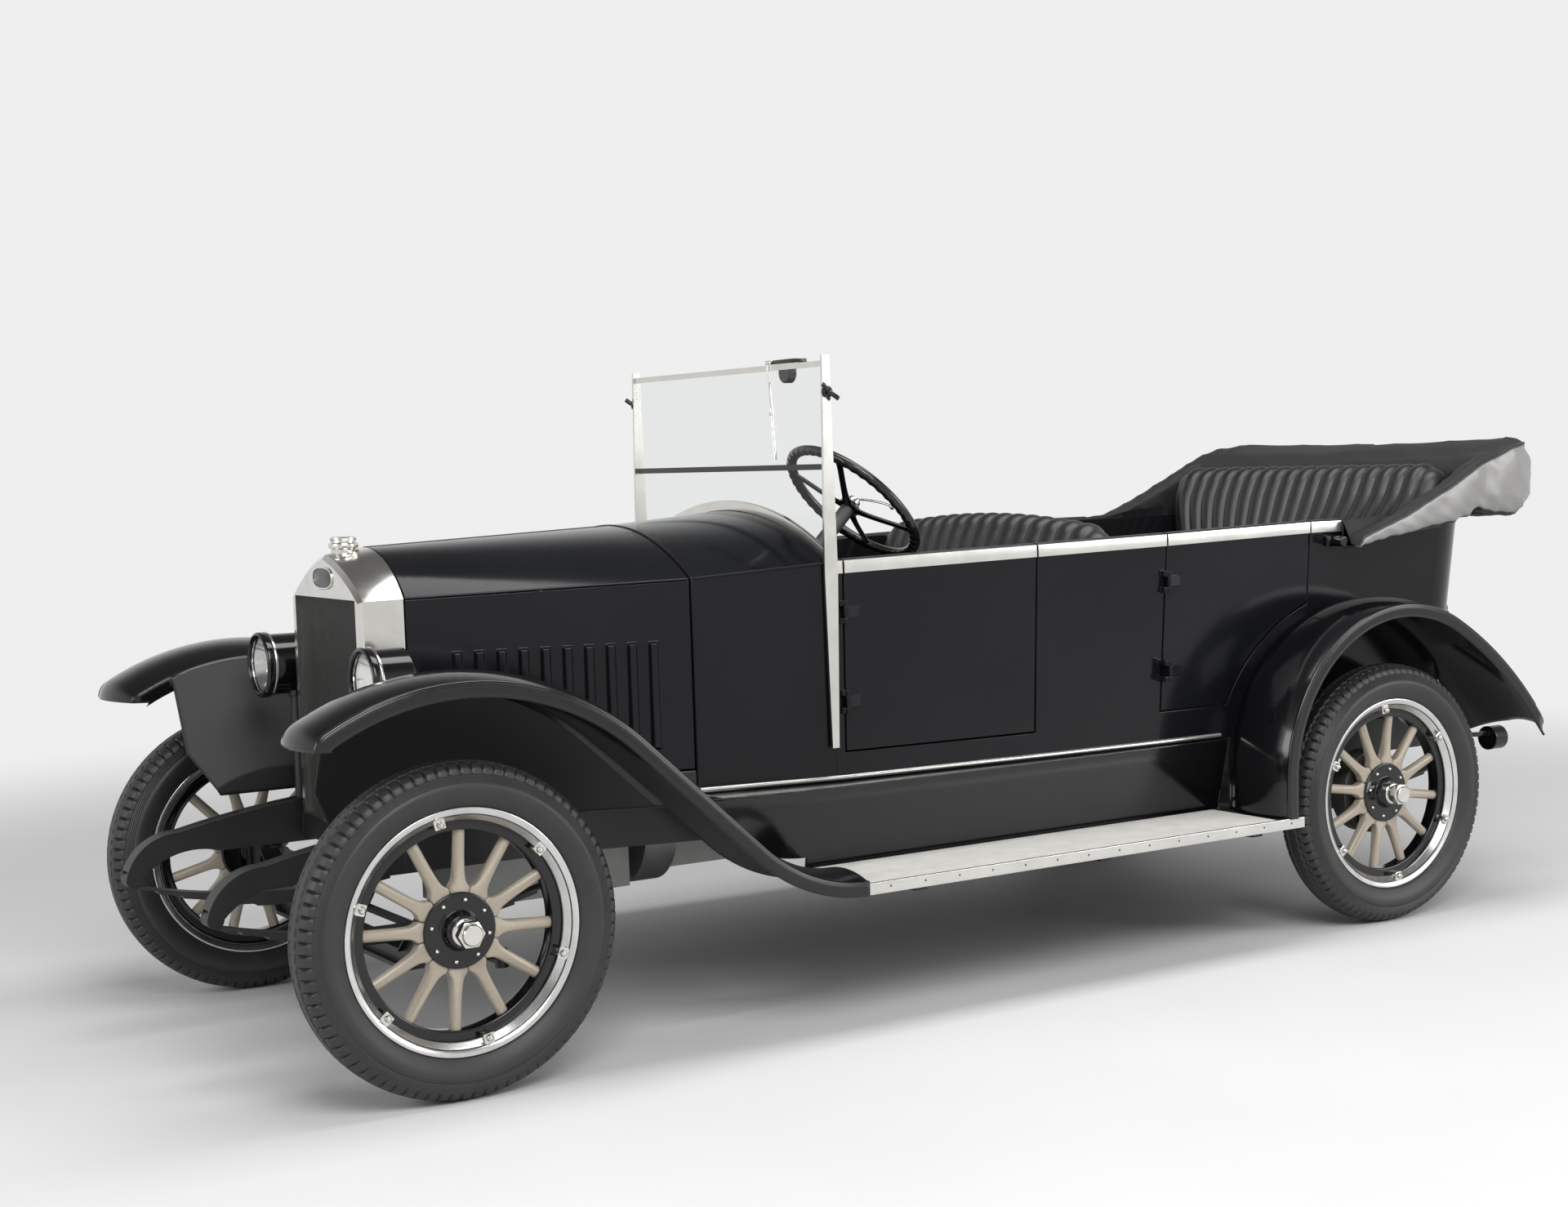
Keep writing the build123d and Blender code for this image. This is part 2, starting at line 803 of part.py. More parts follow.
# Exhaust: down pipe, long pipe over the back axle, silencer
with BuildPart() as exhaust:
    with BuildLine() as route:
        FilletPolyline(
            (exhaust_x, -engine_blocks[0][2] - fit, exhaust_port_z),
            (exhaust_x, exhaust_y, exhaust_port_z),
            (exhaust_x, exhaust_y, exhaust_z),
            (rear_axle_x + 445, exhaust_y, exhaust_z),
            (rear_axle_x + 235, exhaust_y, exhaust_z + exhaust_lift),
            (rear_axle_x - 265, exhaust_y, exhaust_z + exhaust_lift),
            (rear_axle_x - 405, exhaust_y, exhaust_z),
            (rear_axle_x - 555, exhaust_y, exhaust_z),
            radius=60,
        )
    with BuildSketch(Plane(origin=route.line @ 0, z_dir=route.line % 0)):
        Circle(exhaust_radius)
    sweep()
    with BuildSketch(Plane.YZ.offset(silencer_rear_x)):
        with Locations((exhaust_y, exhaust_z)):
            Circle(silencer_radius)
    extrude(amount=silencer_length)
write(exhaust, "exhaust")


# Body outline in plan at one height, from the cowl's back edge round the rounded tail
def tub_outline(z, inset):
    tuck = body_stations[-1][2] * (belt_z - z) / (belt_z - body_bottom)
    back = body_rear_x + tuck + inset
    corner = body_corner - inset
    sides = [(x, half_width(x, z) - inset) for x, _, _ in body_stations[1:-1]]
    tail_y = half_width(body_stations[-1][0], z) - inset
    bend = corner * (1 - sqrt(0.5))
    with BuildSketch(Plane.XY.offset(z)) as outline:
        with BuildLine():
            Polyline((cowl_rear_x, 0), *sides, (back + corner, tail_y))
            ThreePointArc(
                (back + corner, tail_y), (back + bend, tail_y - bend), (back, tail_y - corner)
            )
            Line((back, tail_y - corner), (back, 0))
            mirror(about=Plane.XZ)
        make_face()
    return outline.sketch


def tub_block(grow):
    """The tub as a solid block, grown by a clearance to cut what lies against it."""
    with BuildPart() as block:
        loft([tub_outline(body_bottom, -grow), tub_outline(belt_z, -grow)], ruled=True)
    return block.part


def door_shape(front, rear, low, gap):
    """Side view of a door, cut away over the back fender."""
    with BuildSketch(Plane.XZ) as shape:
        with BuildLine():
            Polyline(
                (front - gap, low + gap),
                (rear + gap, low + gap),
                (rear + gap, belt_z + wall),
                (front - gap, belt_z + wall),
                close=True,
            )
        make_face()
        with Locations((rear_arch_x, rear_arch_z)):
            Circle(rear_arch_radius + arch_margin + gap, mode=Mode.SUBTRACT)
    return shape.sketch


def hinge_strap(front, way, reach):
    """Plan of a hinge: the knuckle about its pin, and the leaf that runs back or forward."""
    pin_x = front - door_gap / 2
    pin_y = half_width(pin_x) + hinge_stand
    low = way * (pin_y - hinge_stand - wall / 2)
    with BuildSketch(Plane.XY) as plan:
        with BuildLine():
            Polyline(
                (pin_x, way * (pin_y + hinge_radius - 1)),
                (pin_x + reach, way * (pin_y - hinge_radius + 1)),
                (pin_x + reach, low - way * wall),
                (pin_x, low - way * wall),
                close=True,
            )
        make_face()
        with Locations((pin_x, way * pin_y)):
            Circle(hinge_radius)
    return plan.sketch


# Tub: outer form less the cabin, with the floor left in and the rail line cut
with BuildPart() as tub_walls:
    add(tub_block(0))
    loft([tub_outline(floor_top, wall), tub_outline(belt_z, wall)], ruled=True, mode=Mode.SUBTRACT)
    with BuildSketch(Plane.XZ):
        with BuildLine():
            Polyline(
                (cowl_rear_x, body_bottom),
                (cowl_rear_x, rail_front_z),
                (rail_level_x, rail_rear_z),
                (body_rear_x, rail_rear_z),
                (body_rear_x, body_bottom),
                close=True,
            )
        make_face()
    extrude(amount=hood_outer_y, both=True, mode=Mode.INTERSECT)

with BuildPart() as body_tub:
    add(tub_walls.part)
    for _, front, rear, low, hinge_heights in doors:
        extrude(door_shape(front, rear, low, 0), amount=hood_outer_y, both=True, mode=Mode.SUBTRACT)
    for _, front, rear, low, hinge_heights in doors:
        for way in (-1, 1):
            for height in hinge_heights:
                for low_z in (height + hinge_half + pin_gap, height - 2 * hinge_half - pin_gap):
                    leaf = hinge_strap(front, way, hinge_half)
                    extrude(leaf.moved(Location((0, 0, low_z))), amount=hinge_half)
write(body_tub, "body_tub")

for name, front, rear, low, hinge_heights in doors:
    for side, way in (("left", 1), ("right", -1)):
        with BuildPart() as door:
            add(tub_walls.part)
            shape = door_shape(front, rear, low, door_gap)
            extrude(shape, amount=-way * hood_outer_y, mode=Mode.INTERSECT)
            for height in hinge_heights:
                leaf = hinge_strap(front, way, -3 * hinge_half)
                extrude(leaf.moved(Location((0, 0, height - hinge_half))), amount=2 * hinge_half)
        write(door, f"door_{name}_{side}")


def cowl_section(x, inset):
    """Section of the cowl: straight sides and an arched top."""
    share = (cowl_front_x - x) / (cowl_front_x - cowl_rear_x)
    ridge = cowl_front_ridge + share * (cowl_rear_ridge - cowl_front_ridge) - inset
    shoulder = cowl_front_shoulder + share * (rail_front_z - cowl_front_shoulder)
    low = floor_top if inset else body_bottom
    foot = half_width(x, low) - inset
    top = half_width(x, shoulder) - inset
    with BuildSketch(Plane.YZ.offset(x)) as section:
        with BuildLine():
            Polyline((-top, shoulder), (-foot, low), (foot, low), (top, shoulder))
            ThreePointArc((top, shoulder), (0, ridge), (-top, shoulder))
        make_face()
    return section.sketch


hub_drop = 24
# Steering column line, from the middle of the wheel down to the box on the frame
rake = radians(column_rake)
column_end = (
    steering_wheel_place[0] + column_length * cos(rake),
    steering_wheel_place[1],
    steering_wheel_place[2] - column_length * sin(rake),
)
column_plane = Plane(origin=column_end, x_dir=(0, 1, 0), z_dir=(-cos(rake), 0, sin(rake)))

# Cowl with its firewall and the dash in its mouth
with BuildPart() as cowl:
    loft([cowl_section(cowl_front_x, 0), cowl_section(cowl_rear_x, 0)], ruled=True)
    loft(
        [cowl_section(cowl_front_x, wall), cowl_section(cowl_rear_x, wall)],
        ruled=True,
        mode=Mode.SUBTRACT,
    )
    extrude(cowl_section(cowl_front_x, wall / 2), amount=-firewall)
    with BuildPart(mode=Mode.PRIVATE) as dash:
        extrude(cowl_section(cowl_rear_x + 60, wall / 2), amount=-firewall)
        with BuildSketch(Plane.XY.offset(body_bottom)):
            with Locations((cowl_rear_x + 60, 0)):
                Rectangle(4 * firewall, 3 * cowl_rear_x)
        extrude(amount=dash_bottom - body_bottom, mode=Mode.SUBTRACT)
    add(dash.part)
    with BuildSketch(column_plane):
        Circle(column_radius + door_gap)
    extrude(amount=column_length, mode=Mode.SUBTRACT)
write(cowl, "cowl")

# Steering column with its box on the left rail, and the wheel
with BuildPart() as steering_column:
    with BuildSketch(column_plane):
        Circle(column_radius)
    extrude(amount=column_length - hub_drop - pin_gap)
    with BuildSketch(Plane.XY.offset(rail_top)):
        with Locations((column_end[0], column_end[1] + 15)):
            Rectangle(100, 90)
    extrude(amount=column_end[2] + 100 - rail_top)
write(steering_column, "steering_column")

wheel_plane = Plane(
    origin=steering_wheel_place, x_dir=(0, 1, 0), z_dir=(-cos(rake), 0, sin(rake))
)
with BuildPart() as steering_wheel:
    grip_ring = steering_wheel_radius - steering_wheel_grip
    with Locations(wheel_plane):
        Torus(grip_ring, steering_wheel_grip)
    with BuildSketch(wheel_plane.offset(-hub_drop)):
        Circle(32)
    extrude(amount=44)
    for arm in range(4):
        turn = radians(45 + 90 * arm)
        outward = wheel_plane.x_dir * cos(turn) + wheel_plane.y_dir * sin(turn)
        start = wheel_plane.origin - wheel_plane.z_dir * 10
        with BuildSketch(Plane(origin=start, z_dir=outward, x_dir=wheel_plane.z_dir)):
            Ellipse(7, 12)
        extrude(amount=grip_ring)
write(steering_wheel, "steering_wheel")


# Bonnet: arched top panels hinged on the ridge, side panels hinged on the shoulders
bonnet_rear_x = cowl_front_x + panel_gap
bonnet_front_x = radiator_rear_x - panel_gap
rod_drop = bonnet_wall / 2


def bonnet_section(x, width, shoulder, ridge, way):
    rise = ridge - shoulder
    radius = (width**2 + rise**2) / (2 * rise)
    inner = radius - bonnet_wall
    start = degrees(asin((hinge_rod_radius + pin_gap) / radius))
    end = degrees(asin(width / radius))
    with BuildSketch(Plane.YZ.offset(x)) as section:
        with BuildLine():
            centre = (0, ridge - radius)
            if way > 0:
                upper = CenterArc(centre, radius, 90 - end, end - start)
                lower = CenterArc(centre, inner, 90 - end, end - start)
            else:
                upper = CenterArc(centre, radius, 90 + start, end - start)
                lower = CenterArc(centre, inner, 90 + start, end - start)
            Line(upper @ 0, lower @ 0)
            Line(upper @ 1, lower @ 1)
        make_face()
    return section.sketch


# Rod that both halves of the bonnet turn on, from the cowl to the radiator shell
rod_slope = (bonnet_front_ridge - cowl_front_ridge) / (bonnet_front_x - bonnet_rear_x)
rod_start = (
    cowl_front_x + fit,
    0,
    cowl_front_ridge - rod_drop + rod_slope * (cowl_front_x + fit - bonnet_rear_x),
)
with BuildPart() as bonnet_hinge:
    with BuildSketch(Plane(origin=rod_start, z_dir=(1, 0, rod_slope), x_dir=(0, 1, 0))):
        Circle(hinge_rod_radius)
    rod_length = radiator_rear_x - fit - rod_start[0]
    extrude(amount=rod_length * sqrt(1 + rod_slope**2) - hinge_rod_radius * abs(rod_slope))
write(bonnet_hinge, "bonnet_hinge")

rear_width = half_width(cowl_front_x)
side_length = sqrt(
    (bonnet_front_x - bonnet_rear_x) ** 2 + (rear_width - bonnet_front_y) ** 2
)
for side, way in (("left", 1), ("right", -1)):
    with BuildPart() as bonnet_top:
        loft(
            [
                bonnet_section(
                    bonnet_rear_x, rear_width, cowl_front_shoulder, cowl_front_ridge, way
                ),
                bonnet_section(
                    bonnet_front_x,
                    bonnet_front_y,
                    bonnet_front_shoulder,
                    bonnet_front_ridge,
                    way,
                ),
            ],
            ruled=True,
        )
    write(bonnet_top, f"bonnet_top_{side}")

    along = Vector(
        bonnet_front_x - bonnet_rear_x, way * (bonnet_front_y - rear_width), 0
    ).normalized()
    outward = Vector(-way * along.Y, way * along.X, 0)
    corner = Vector(bonnet_rear_x, way * rear_width, 0)
    side_plane = Plane(origin=corner, x_dir=along, z_dir=outward)
    flip = 1 if side_plane.y_dir.Z > 0 else -1
    with BuildPart() as bonnet_side:
        with BuildSketch(side_plane):
            with BuildLine():
                Polyline(
                    (0, flip * bonnet_bottom),
                    (side_length, flip * bonnet_bottom),
                    (side_length, flip * (bonnet_front_shoulder - bonnet_wall + fit)),
                    (0, flip * (cowl_front_shoulder - bonnet_wall + fit)),
                    close=True,
                )
            make_face()
        extrude(amount=-bonnet_wall)
        # Louvres pressed out of the panel, each with its slot behind the lip
        for louvre in range(louvre_count):
            at = louvre_first + louvre * louvre_pitch
            with BuildSketch(side_plane):
                with Locations((at, flip * (louvre_bottom + louvre_top) / 2)):
                    Rectangle(louvre_width, louvre_top - louvre_bottom)
            extrude(amount=louvre_stand, taper=28)
            with BuildSketch(side_plane.offset(-bonnet_wall)):
                with Locations((at, flip * (louvre_bottom + louvre_top) / 2)):
                    Rectangle(louvre_width - 14, louvre_top - louvre_bottom - 14)
            extrude(amount=bonnet_wall + louvre_stand - 3, taper=14, mode=Mode.SUBTRACT)
    write(bonnet_side, f"bonnet_side_{side}")

# Radiator shell with a pointed crown, its core, and the filler cap of stacked rings
radiator_front_x = radiator_rear_x + radiator_depth
with BuildPart() as radiator_shell:
    # Pointed at the front, rounded at the back to carry on the bonnet's line
    for face_x, half, shoulder, apex, waist in (
        (radiator_rear_x, bonnet_front_y + 3, bonnet_front_shoulder, bonnet_front_ridge, 0.78),
        (radiator_front_x, radiator_half_width, radiator_shoulder, radiator_apex, 0.62),
    ):
        with BuildSketch(Plane.YZ.offset(face_x)):
            with BuildLine():
                Polyline((0, radiator_bottom), (half, radiator_bottom), (half, shoulder))
                ThreePointArc(
                    (half, shoulder),
                    (half * 0.52, shoulder + (apex - shoulder) * waist),
                    (0, apex),
                )
                mirror(about=Plane.YZ)
            make_face()
    loft(ruled=True)
    with BuildSketch(Plane.YZ.offset(radiator_rear_x)):
        with Locations((0, (core_bottom + core_top) / 2)):
            Rectangle(2 * core_half_width, core_top - core_bottom)
    extrude(amount=radiator_depth, mode=Mode.SUBTRACT)
    front_edges = radiator_shell.faces().sort_by(Axis.X)[-1].outer_wire().edges()
    chamfer(front_edges, length=10)
    with BuildSketch(Plane.XY.offset(core_top)):
        with Locations((cap_x, 0)):
            Circle(cap_radius - 9)
    extrude(amount=neck_top - core_top)
write(radiator_shell, "radiator_shell")

with BuildPart() as radiator_core:
    with BuildSketch(Plane.YZ.offset(radiator_front_x - core_recess - core_depth)):
        with Locations((0, (core_bottom + core_top) / 2)):
            Rectangle(2 * (core_half_width - fit), core_top - core_bottom - 2 * fit)
    extrude(amount=core_depth)
write(radiator_core, "radiator_core")

with BuildPart() as radiator_cap:
    with BuildSketch(Plane.XZ):
        with BuildLine():
            low = neck_top
            ring = (cap_top - low) / 3
            Polyline(
                (cap_x, low),
                (cap_x + cap_radius - 6, low),
                (cap_x + cap_radius, low + 0.4 * ring),
                (cap_x + cap_radius - 6, low + ring),
                (cap_x + cap_radius - 2, low + 1.5 * ring),
                (cap_x + cap_radius - 9, low + 2 * ring),
                (cap_x + cap_radius - 12, cap_top - 3),
                (cap_x + 8, cap_top),
                (cap_x, cap_top),
                close=True,
            )
        make_face()
    revolve(axis=Axis((cap_x, 0, 0), (0, 0, 1)))
write(radiator_cap, "radiator_cap")


# Fender section: a crowned sheet with a turned-down outer edge, drawn as y and height
def crown_height(y, radius=crown_radius):
    centre = -sqrt(crown_radius**2 - (fender_outer_y - crown_y) ** 2)
    return centre + sqrt(radius**2 - (y - crown_y) ** 2)


def fender_section(plane, inner_y):
    under = crown_radius - fender_wall
    edge = fender_outer_y - fender_wall
    with BuildSketch(plane) as section:
        with BuildLine():
            Polyline(
                (edge, crown_height(edge, under)),
                (edge, -fender_flange),
                (fender_outer_y, -fender_flange),
                (fender_outer_y, 0),
            )
            ThreePointArc(
                (fender_outer_y, 0),
                (crown_y, crown_height(crown_y)),
                (inner_y, crown_height(inner_y)),
            )
            Line((inner_y, crown_height(inner_y)), (inner_y, crown_height(inner_y, under)))
            ThreePointArc(
                (inner_y, crown_height(inner_y, under)),
                (crown_y, crown_height(crown_y, under)),
                (edge, crown_height(edge, under)),
            )
        make_face()
    return section.sketch


def start_plane(path):
    return Plane(origin=path @ 0, z_dir=path % 0, x_dir=(0, 1, 0))


def polar(centre, radius, angle):
    """Point on a circle in side view, the angle counted from straight up towards the front."""
    return (centre[0] + radius * sin(radians(angle)), centre[1] + radius * cos(radians(angle)))


# Front fender line in side view: reversed arc at the board, straight slope, arch, nose
arch = (front_arch_x, front_arch_z)
slope_top = polar(arch, front_arch_radius, -fender_slope)
tail_z = board_top + fender_wall + tail_radius
slope_drop = slope_top[1] - (tail_z - tail_radius * cos(radians(fender_slope)))
slope_foot = (slope_top[0] - slope_drop / tan(radians(fender_slope)), slope_top[1] - slope_drop)
tail = (slope_foot[0] - tail_radius * sin(radians(fender_slope)), tail_z)
board_front_x = tail[0] - fit
nose = polar(arch, front_arch_radius - nose_radius, nose_start)


def front_line(rise, plane, pieces):
    """Chosen pieces of the front fender's side line, lifted by a rise."""
    foot = polar(tail, tail_radius - rise, 180 - fender_slope)
    top = polar(arch, front_arch_radius + rise, -fender_slope)
    crest = polar(arch, front_arch_radius + rise, (nose_start - fender_slope) / 2)
    with BuildLine(plane, mode=Mode.PRIVATE) as line:
        if "tail" in pieces:
            ThreePointArc(
                (tail[0], tail[1] - tail_radius + rise),
                polar(tail, tail_radius - rise, 180 - fender_slope / 2),
                foot,
            )
        Line(foot, top)
        ThreePointArc(top, crest, polar(arch, front_arch_radius + rise, nose_start))
        if "nose" in pieces:
            ThreePointArc(
                polar(nose, nose_radius + rise, nose_start),
                polar(nose, nose_radius + rise, (nose_start + nose_end) / 2),
                polar(nose, nose_radius + rise, nose_end),
            )
    return line.line


# The wheel arch's inner wall, leaning in from the crowned sheet to the ledge on the frame
valance_low = rail_top + apron_wall + fit
with BuildPart() as valance:
    path = front_line(0, Plane.XZ, "")
    with BuildSketch(start_plane(path)):
        with BuildLine():
            lip = crown_height(fender_inner_y)
            Polyline(
                (fender_inner_y, lip),
                (fender_foot_y, -fender_foot_drop),
                (fender_foot_y, -fender_foot_drop - fender_foot_length),
                (fender_foot_y + fender_wall, -fender_foot_drop - fender_foot_length),
                (fender_foot_y + fender_wall, -fender_foot_drop - fender_wall / 2),
                (fender_inner_y + fender_wall, lip - fender_wall / 2),
                close=True,
            )
        make_face()
    sweep(path=path)
    with BuildSketch(Plane.XY.offset(valance_low)):
        with Locations((front_arch_x, fender_inner_y)):
            Rectangle(4 * front_arch_radius, 2 * fender_inner_y)
    extrude(amount=-front_arch_radius, mode=Mode.SUBTRACT)
    with BuildSketch(Plane.YZ.offset(valance_front_x)):
        with Locations((fender_inner_y, front_arch_z)):
            Rectangle(2 * fender_inner_y, 4 * front_arch_radius)
    extrude(amount=front_arch_radius, mode=Mode.SUBTRACT)

# Lip along the inner edge of the nose, turned down like the outer edge
lip_top = crown_height(fender_inner_y)
with BuildPart() as inner_lip:
    with BuildLine(Plane.XZ) as lip_line:
        ThreePointArc(
            polar(arch, front_arch_radius, nose_lip_start),
            polar(arch, front_arch_radius, (nose_lip_start + nose_start) / 2),
            polar(arch, front_arch_radius, nose_start),
        )
        ThreePointArc(
            polar(nose, nose_radius, nose_start),
            polar(nose, nose_radius, (nose_start + nose_end) / 2),
            polar(nose, nose_radius, nose_end),
        )
    with BuildSketch(start_plane(lip_line.line)):
        with Locations((fender_inner_y + fender_wall / 2, lip_top - nose_lip / 2)):
            Rectangle(fender_wall, nose_lip)
    sweep(path=lip_line.line)

with BuildPart() as front_fender_left:
    path = front_line(0, Plane.XZ, ("tail", "nose"))
    sweep(fender_section(start_plane(path), fender_inner_y), path=path)
    add(valance.part)
    add(inner_lip.part)
    # The nose is rounded in plan
    nose_x = nose[0] + nose_radius + crown_height(crown_y) + 1
    with BuildSketch(Plane.XY.offset(board_top - 50)):
        with BuildLine():
            Polyline(
                (board_front_x, fender_outer_y),
                (board_front_x, fender_foot_y),
                (valance_front_x + 1, fender_foot_y),
                (valance_front_x + 1, fender_inner_y),
                (nose_x, fender_inner_y),
                (nose_x, fender_outer_y),
                close=True,
            )
        make_face()
        for corner, radius in zip(vertices().sort_by(Axis.X)[-2:].sort_by(Axis.Y), nose_corners):
            fillet(corner, radius=radius)
    extrude(amount=front_arch_z + front_arch_radius, mode=Mode.INTERSECT)
write(front_fender_left, "front_fender_left")
write(mirrored(front_fender_left), "front_fender_right")

# Ledges that close the gap between the bonnet's foot, the rails and the front fenders
foot_radius = front_arch_radius - fender_foot_drop
ledge_corners = (
    slope_top[0] - (slope_top[1] - valance_low) / tan(radians(fender_slope)) + 25,
    front_arch_x - sqrt(foot_radius**2 - (valance_low - front_arch_z) ** 2),
)
with BuildPart() as bonnet_ledges:
    for way in (-1, 1):
        with BuildSketch(Plane.XY.offset(rail_top)):
            with BuildLine():
                Polyline(
                    (cowl_front_x + fit, way * (rear_width - 14)),
                    (cowl_front_x + fit, way * (fender_inner_y - fit)),
                    (ledge_corners[0], way * (fender_inner_y - fit)),
                    (ledge_corners[1], way * fender_foot_y),
                    (radiator_rear_x - fit, way * fender_foot_y),
                    (radiator_rear_x - fit, way * (bonnet_front_y - 14)),
                    close=True,
                )
            make_face()
        extrude(amount=apron_wall)
        with BuildSketch(Plane.XY.offset(rail_top)):
            with BuildLine():
                Polyline(
                    (cowl_front_x + fit, way * (rear_width - 14)),
                    (cowl_front_x + fit, way * rear_width),
                    (radiator_rear_x - fit, way * bonnet_front_y),
                    (radiator_rear_x - fit, way * (bonnet_front_y - 14)),
                    close=True,
                )
            make_face()
        extrude(amount=ledge_top - rail_top)
    # The engine's feet stand on the rails through these notches
    for foot_x in engine_feet:
        with BuildSketch(Plane.XY.offset(rail_top)):
            with Locations((foot_x, 0)):
                Rectangle(foot_width + 2, 2 * (front_rail_y + 40))
        extrude(amount=2 * apron_wall + foot_wall, mode=Mode.SUBTRACT)
    with BuildSketch(Plane.XY.offset(rail_top)):
        with Locations((column_end[0], column_end[1] + 15)):
            Rectangle(102, 92)
    extrude(amount=ledge_top, mode=Mode.SUBTRACT)
write(bonnet_ledges, "bonnet_ledges")

# Rear fender: from the tail over the wheel and straight down to the running board
rear_arch = (rear_arch_x, rear_arch_z)
turn_point = polar(rear_arch, rear_arch_radius, -rear_arch_turn)
tail_centre = polar(turn_point, rear_tail_radius, 180 - rear_arch_turn)
tail_point = polar(tail_centre, rear_tail_radius, -rear_tail_turn)
tail_tip = (
    tail_point[0] - rear_tail_length * cos(radians(rear_tail_turn)),
    tail_point[1] - rear_tail_length * sin(radians(rear_tail_turn)),
)
with BuildPart() as rear_fender_left:
    with BuildLine(Plane.XZ) as rear_path:
        Line(tail_tip, tail_point)
        ThreePointArc(
            tail_point,
            polar(tail_centre, rear_tail_radius, -(rear_tail_turn + rear_arch_turn) / 2),
            turn_point,
        )
        ThreePointArc(
            turn_point,
            polar(rear_arch, rear_arch_radius, (90 - rear_arch_turn) / 2),
            polar(rear_arch, rear_arch_radius, 90),
        )
        Line(polar(rear_arch, rear_arch_radius, 90), (rear_arch_x + rear_arch_radius, board_top))
    path = rear_path.line
    sweep(fender_section(start_plane(path), board_inner_y + 10), path=path)
    with BuildSketch(Plane.XY.offset(board_top)):
        with BuildLine():
            Polyline(
                (rear_arch_x + rear_arch_radius + 30, board_inner_y + 10),
                (tail_tip[0] - 10, board_inner_y + 10),
                (tail_tip[0] - 10, fender_outer_y),
                (rear_arch_x + rear_arch_radius + 30, fender_outer_y),
                close=True,
            )
        make_face()
        outer_corner = vertices().sort_by(Axis.X)[:2].sort_by(Axis.Y)[-1]
        fillet(outer_corner, radius=60)
    extrude(amount=rear_arch_z + rear_arch_radius, mode=Mode.INTERSECT)
    add(tub_block(fit), mode=Mode.SUBTRACT)
write(rear_fender_left, "rear_fender_left")
write(mirrored(rear_fender_left), "rear_fender_right")

# Running boards on their brackets, each with a raised cover
with BuildPart() as running_boards:
    for way in (-1, 1):
        with BuildSketch(Plane.XY.offset(board_top - board_wall)):
            with Locations(
                (
                    (board_front_x + board_rear_x) / 2,
                    way * (board_inner_y + fit + fender_outer_y) / 2,
                )
            ):
                Rectangle(board_front_x - board_rear_x, fender_outer_y - board_inner_y - fit)
        extrude(amount=board_wall)
        # The cover lies between the two fenders, clear of the edges
        cover_rear_x = rear_arch_x + rear_arch_radius + crown_height(crown_y) + board_edge
        with BuildSketch(Plane.XY.offset(board_top)):
            with Locations(
                (
                    (board_front_x - board_edge + cover_rear_x) / 2,
                    way * (board_inner_y + fit + fender_outer_y) / 2,
                )
            ):
                Rectangle(
                    board_front_x - board_edge - cover_rear_x,
                    fender_outer_y - board_inner_y - fit - 2 * board_edge,
                )
        extrude(amount=board_cover)
write(running_boards, "running_boards")

# Splash aprons between the frame and the running boards
with BuildPart() as splash_aprons:
    apron_rear_x = rear_arch_x + rear_arch_radius + fit
    rail_side = rear_rail_y + rail_width / 2
    for way in (-1, 1):
        with BuildSketch(Plane.YZ.offset(apron_rear_x)):
            with BuildLine():
                Polyline(
                    (way * rail_side, rail_top),
                    (way * apron_top_y, rail_top),
                    (way * board_inner_y, board_top + 1),
                    (way * board_inner_y, board_top - board_wall + fit),
                    (way * (board_inner_y - apron_wall), board_top - board_wall + fit),
                    (way * (board_inner_y - apron_wall), board_top + 1),
                    (way * (apron_top_y - apron_wall - 1), rail_top - apron_wall),
                    (way * rail_side, rail_top - apron_wall),
                    close=True,
                )
            make_face()
        extrude(amount=apron_front_x - apron_rear_x)
    # The front end follows the fender
    crown_rise = crown_height(crown_y) + 2
    with BuildSketch(Plane.XZ):
        with BuildLine():
            upper = front_line(crown_rise, Plane.XY, "tail")
            add(upper)
            start, end = upper @ 0, upper @ 1
            Polyline(
                end, (end.X, board_top - 100), (start.X, board_top - 100), start
            )
        make_face()
    extrude(amount=fender_outer_y, both=True, mode=Mode.SUBTRACT)
write(splash_aprons, "splash_aprons")

# Windscreen: two side posts, top bar and black middle bar
with BuildPart() as windscreen_frame:
    for way in (-1, 1):
        with BuildSketch(Plane.XZ.offset(-way * post_inner_y)):
            with BuildLine():
                Polyline(
                    (screen_x - 10, post_foot_z),
                    (screen_x + 10, post_foot_z),
                    (screen_x + 20, cowl_front_shoulder),
                    (screen_x + 11, screen_top),
                    (screen_x - 11, screen_top),
                    (screen_x - 20, cowl_front_shoulder),
                    close=True,
                )
            make_face()
        extrude(amount=-way * post_wall)
    for bar_z, bar_depth in ((top_bar_z, 14), (mid_bar_z, 12)):
        with BuildSketch(Plane.YZ.offset(screen_x)):
            with Locations((0, bar_z)):
                Rectangle(2 * post_inner_y + 2, bar_height)
        extrude(amount=bar_depth / 2, both=True)
write(windscreen_frame, "windscreen_frame")

with BuildPart() as windscreen_glass:
    pane_y = post_inner_y - 4
    with BuildSketch(Plane.YZ.offset(screen_x)):
        low, high = mid_bar_z + bar_height / 2 + fit, top_bar_z - bar_height / 2 - fit
        with Locations((0, (low + high) / 2)):
            Rectangle(2 * pane_y, high - low)
        with BuildLine():
            top = mid_bar_z - bar_height / 2 - fit
            foot = rail_front_z + 5
            Polyline((-pane_y, foot), (-pane_y, top), (pane_y, top), (pane_y, foot))
            ThreePointArc((pane_y, foot), (0, cowl_rear_ridge + 1), (-pane_y, foot))
        make_face()
    extrude(amount=glass_wall / 2, both=True)
write(windscreen_glass, "windscreen_glass")

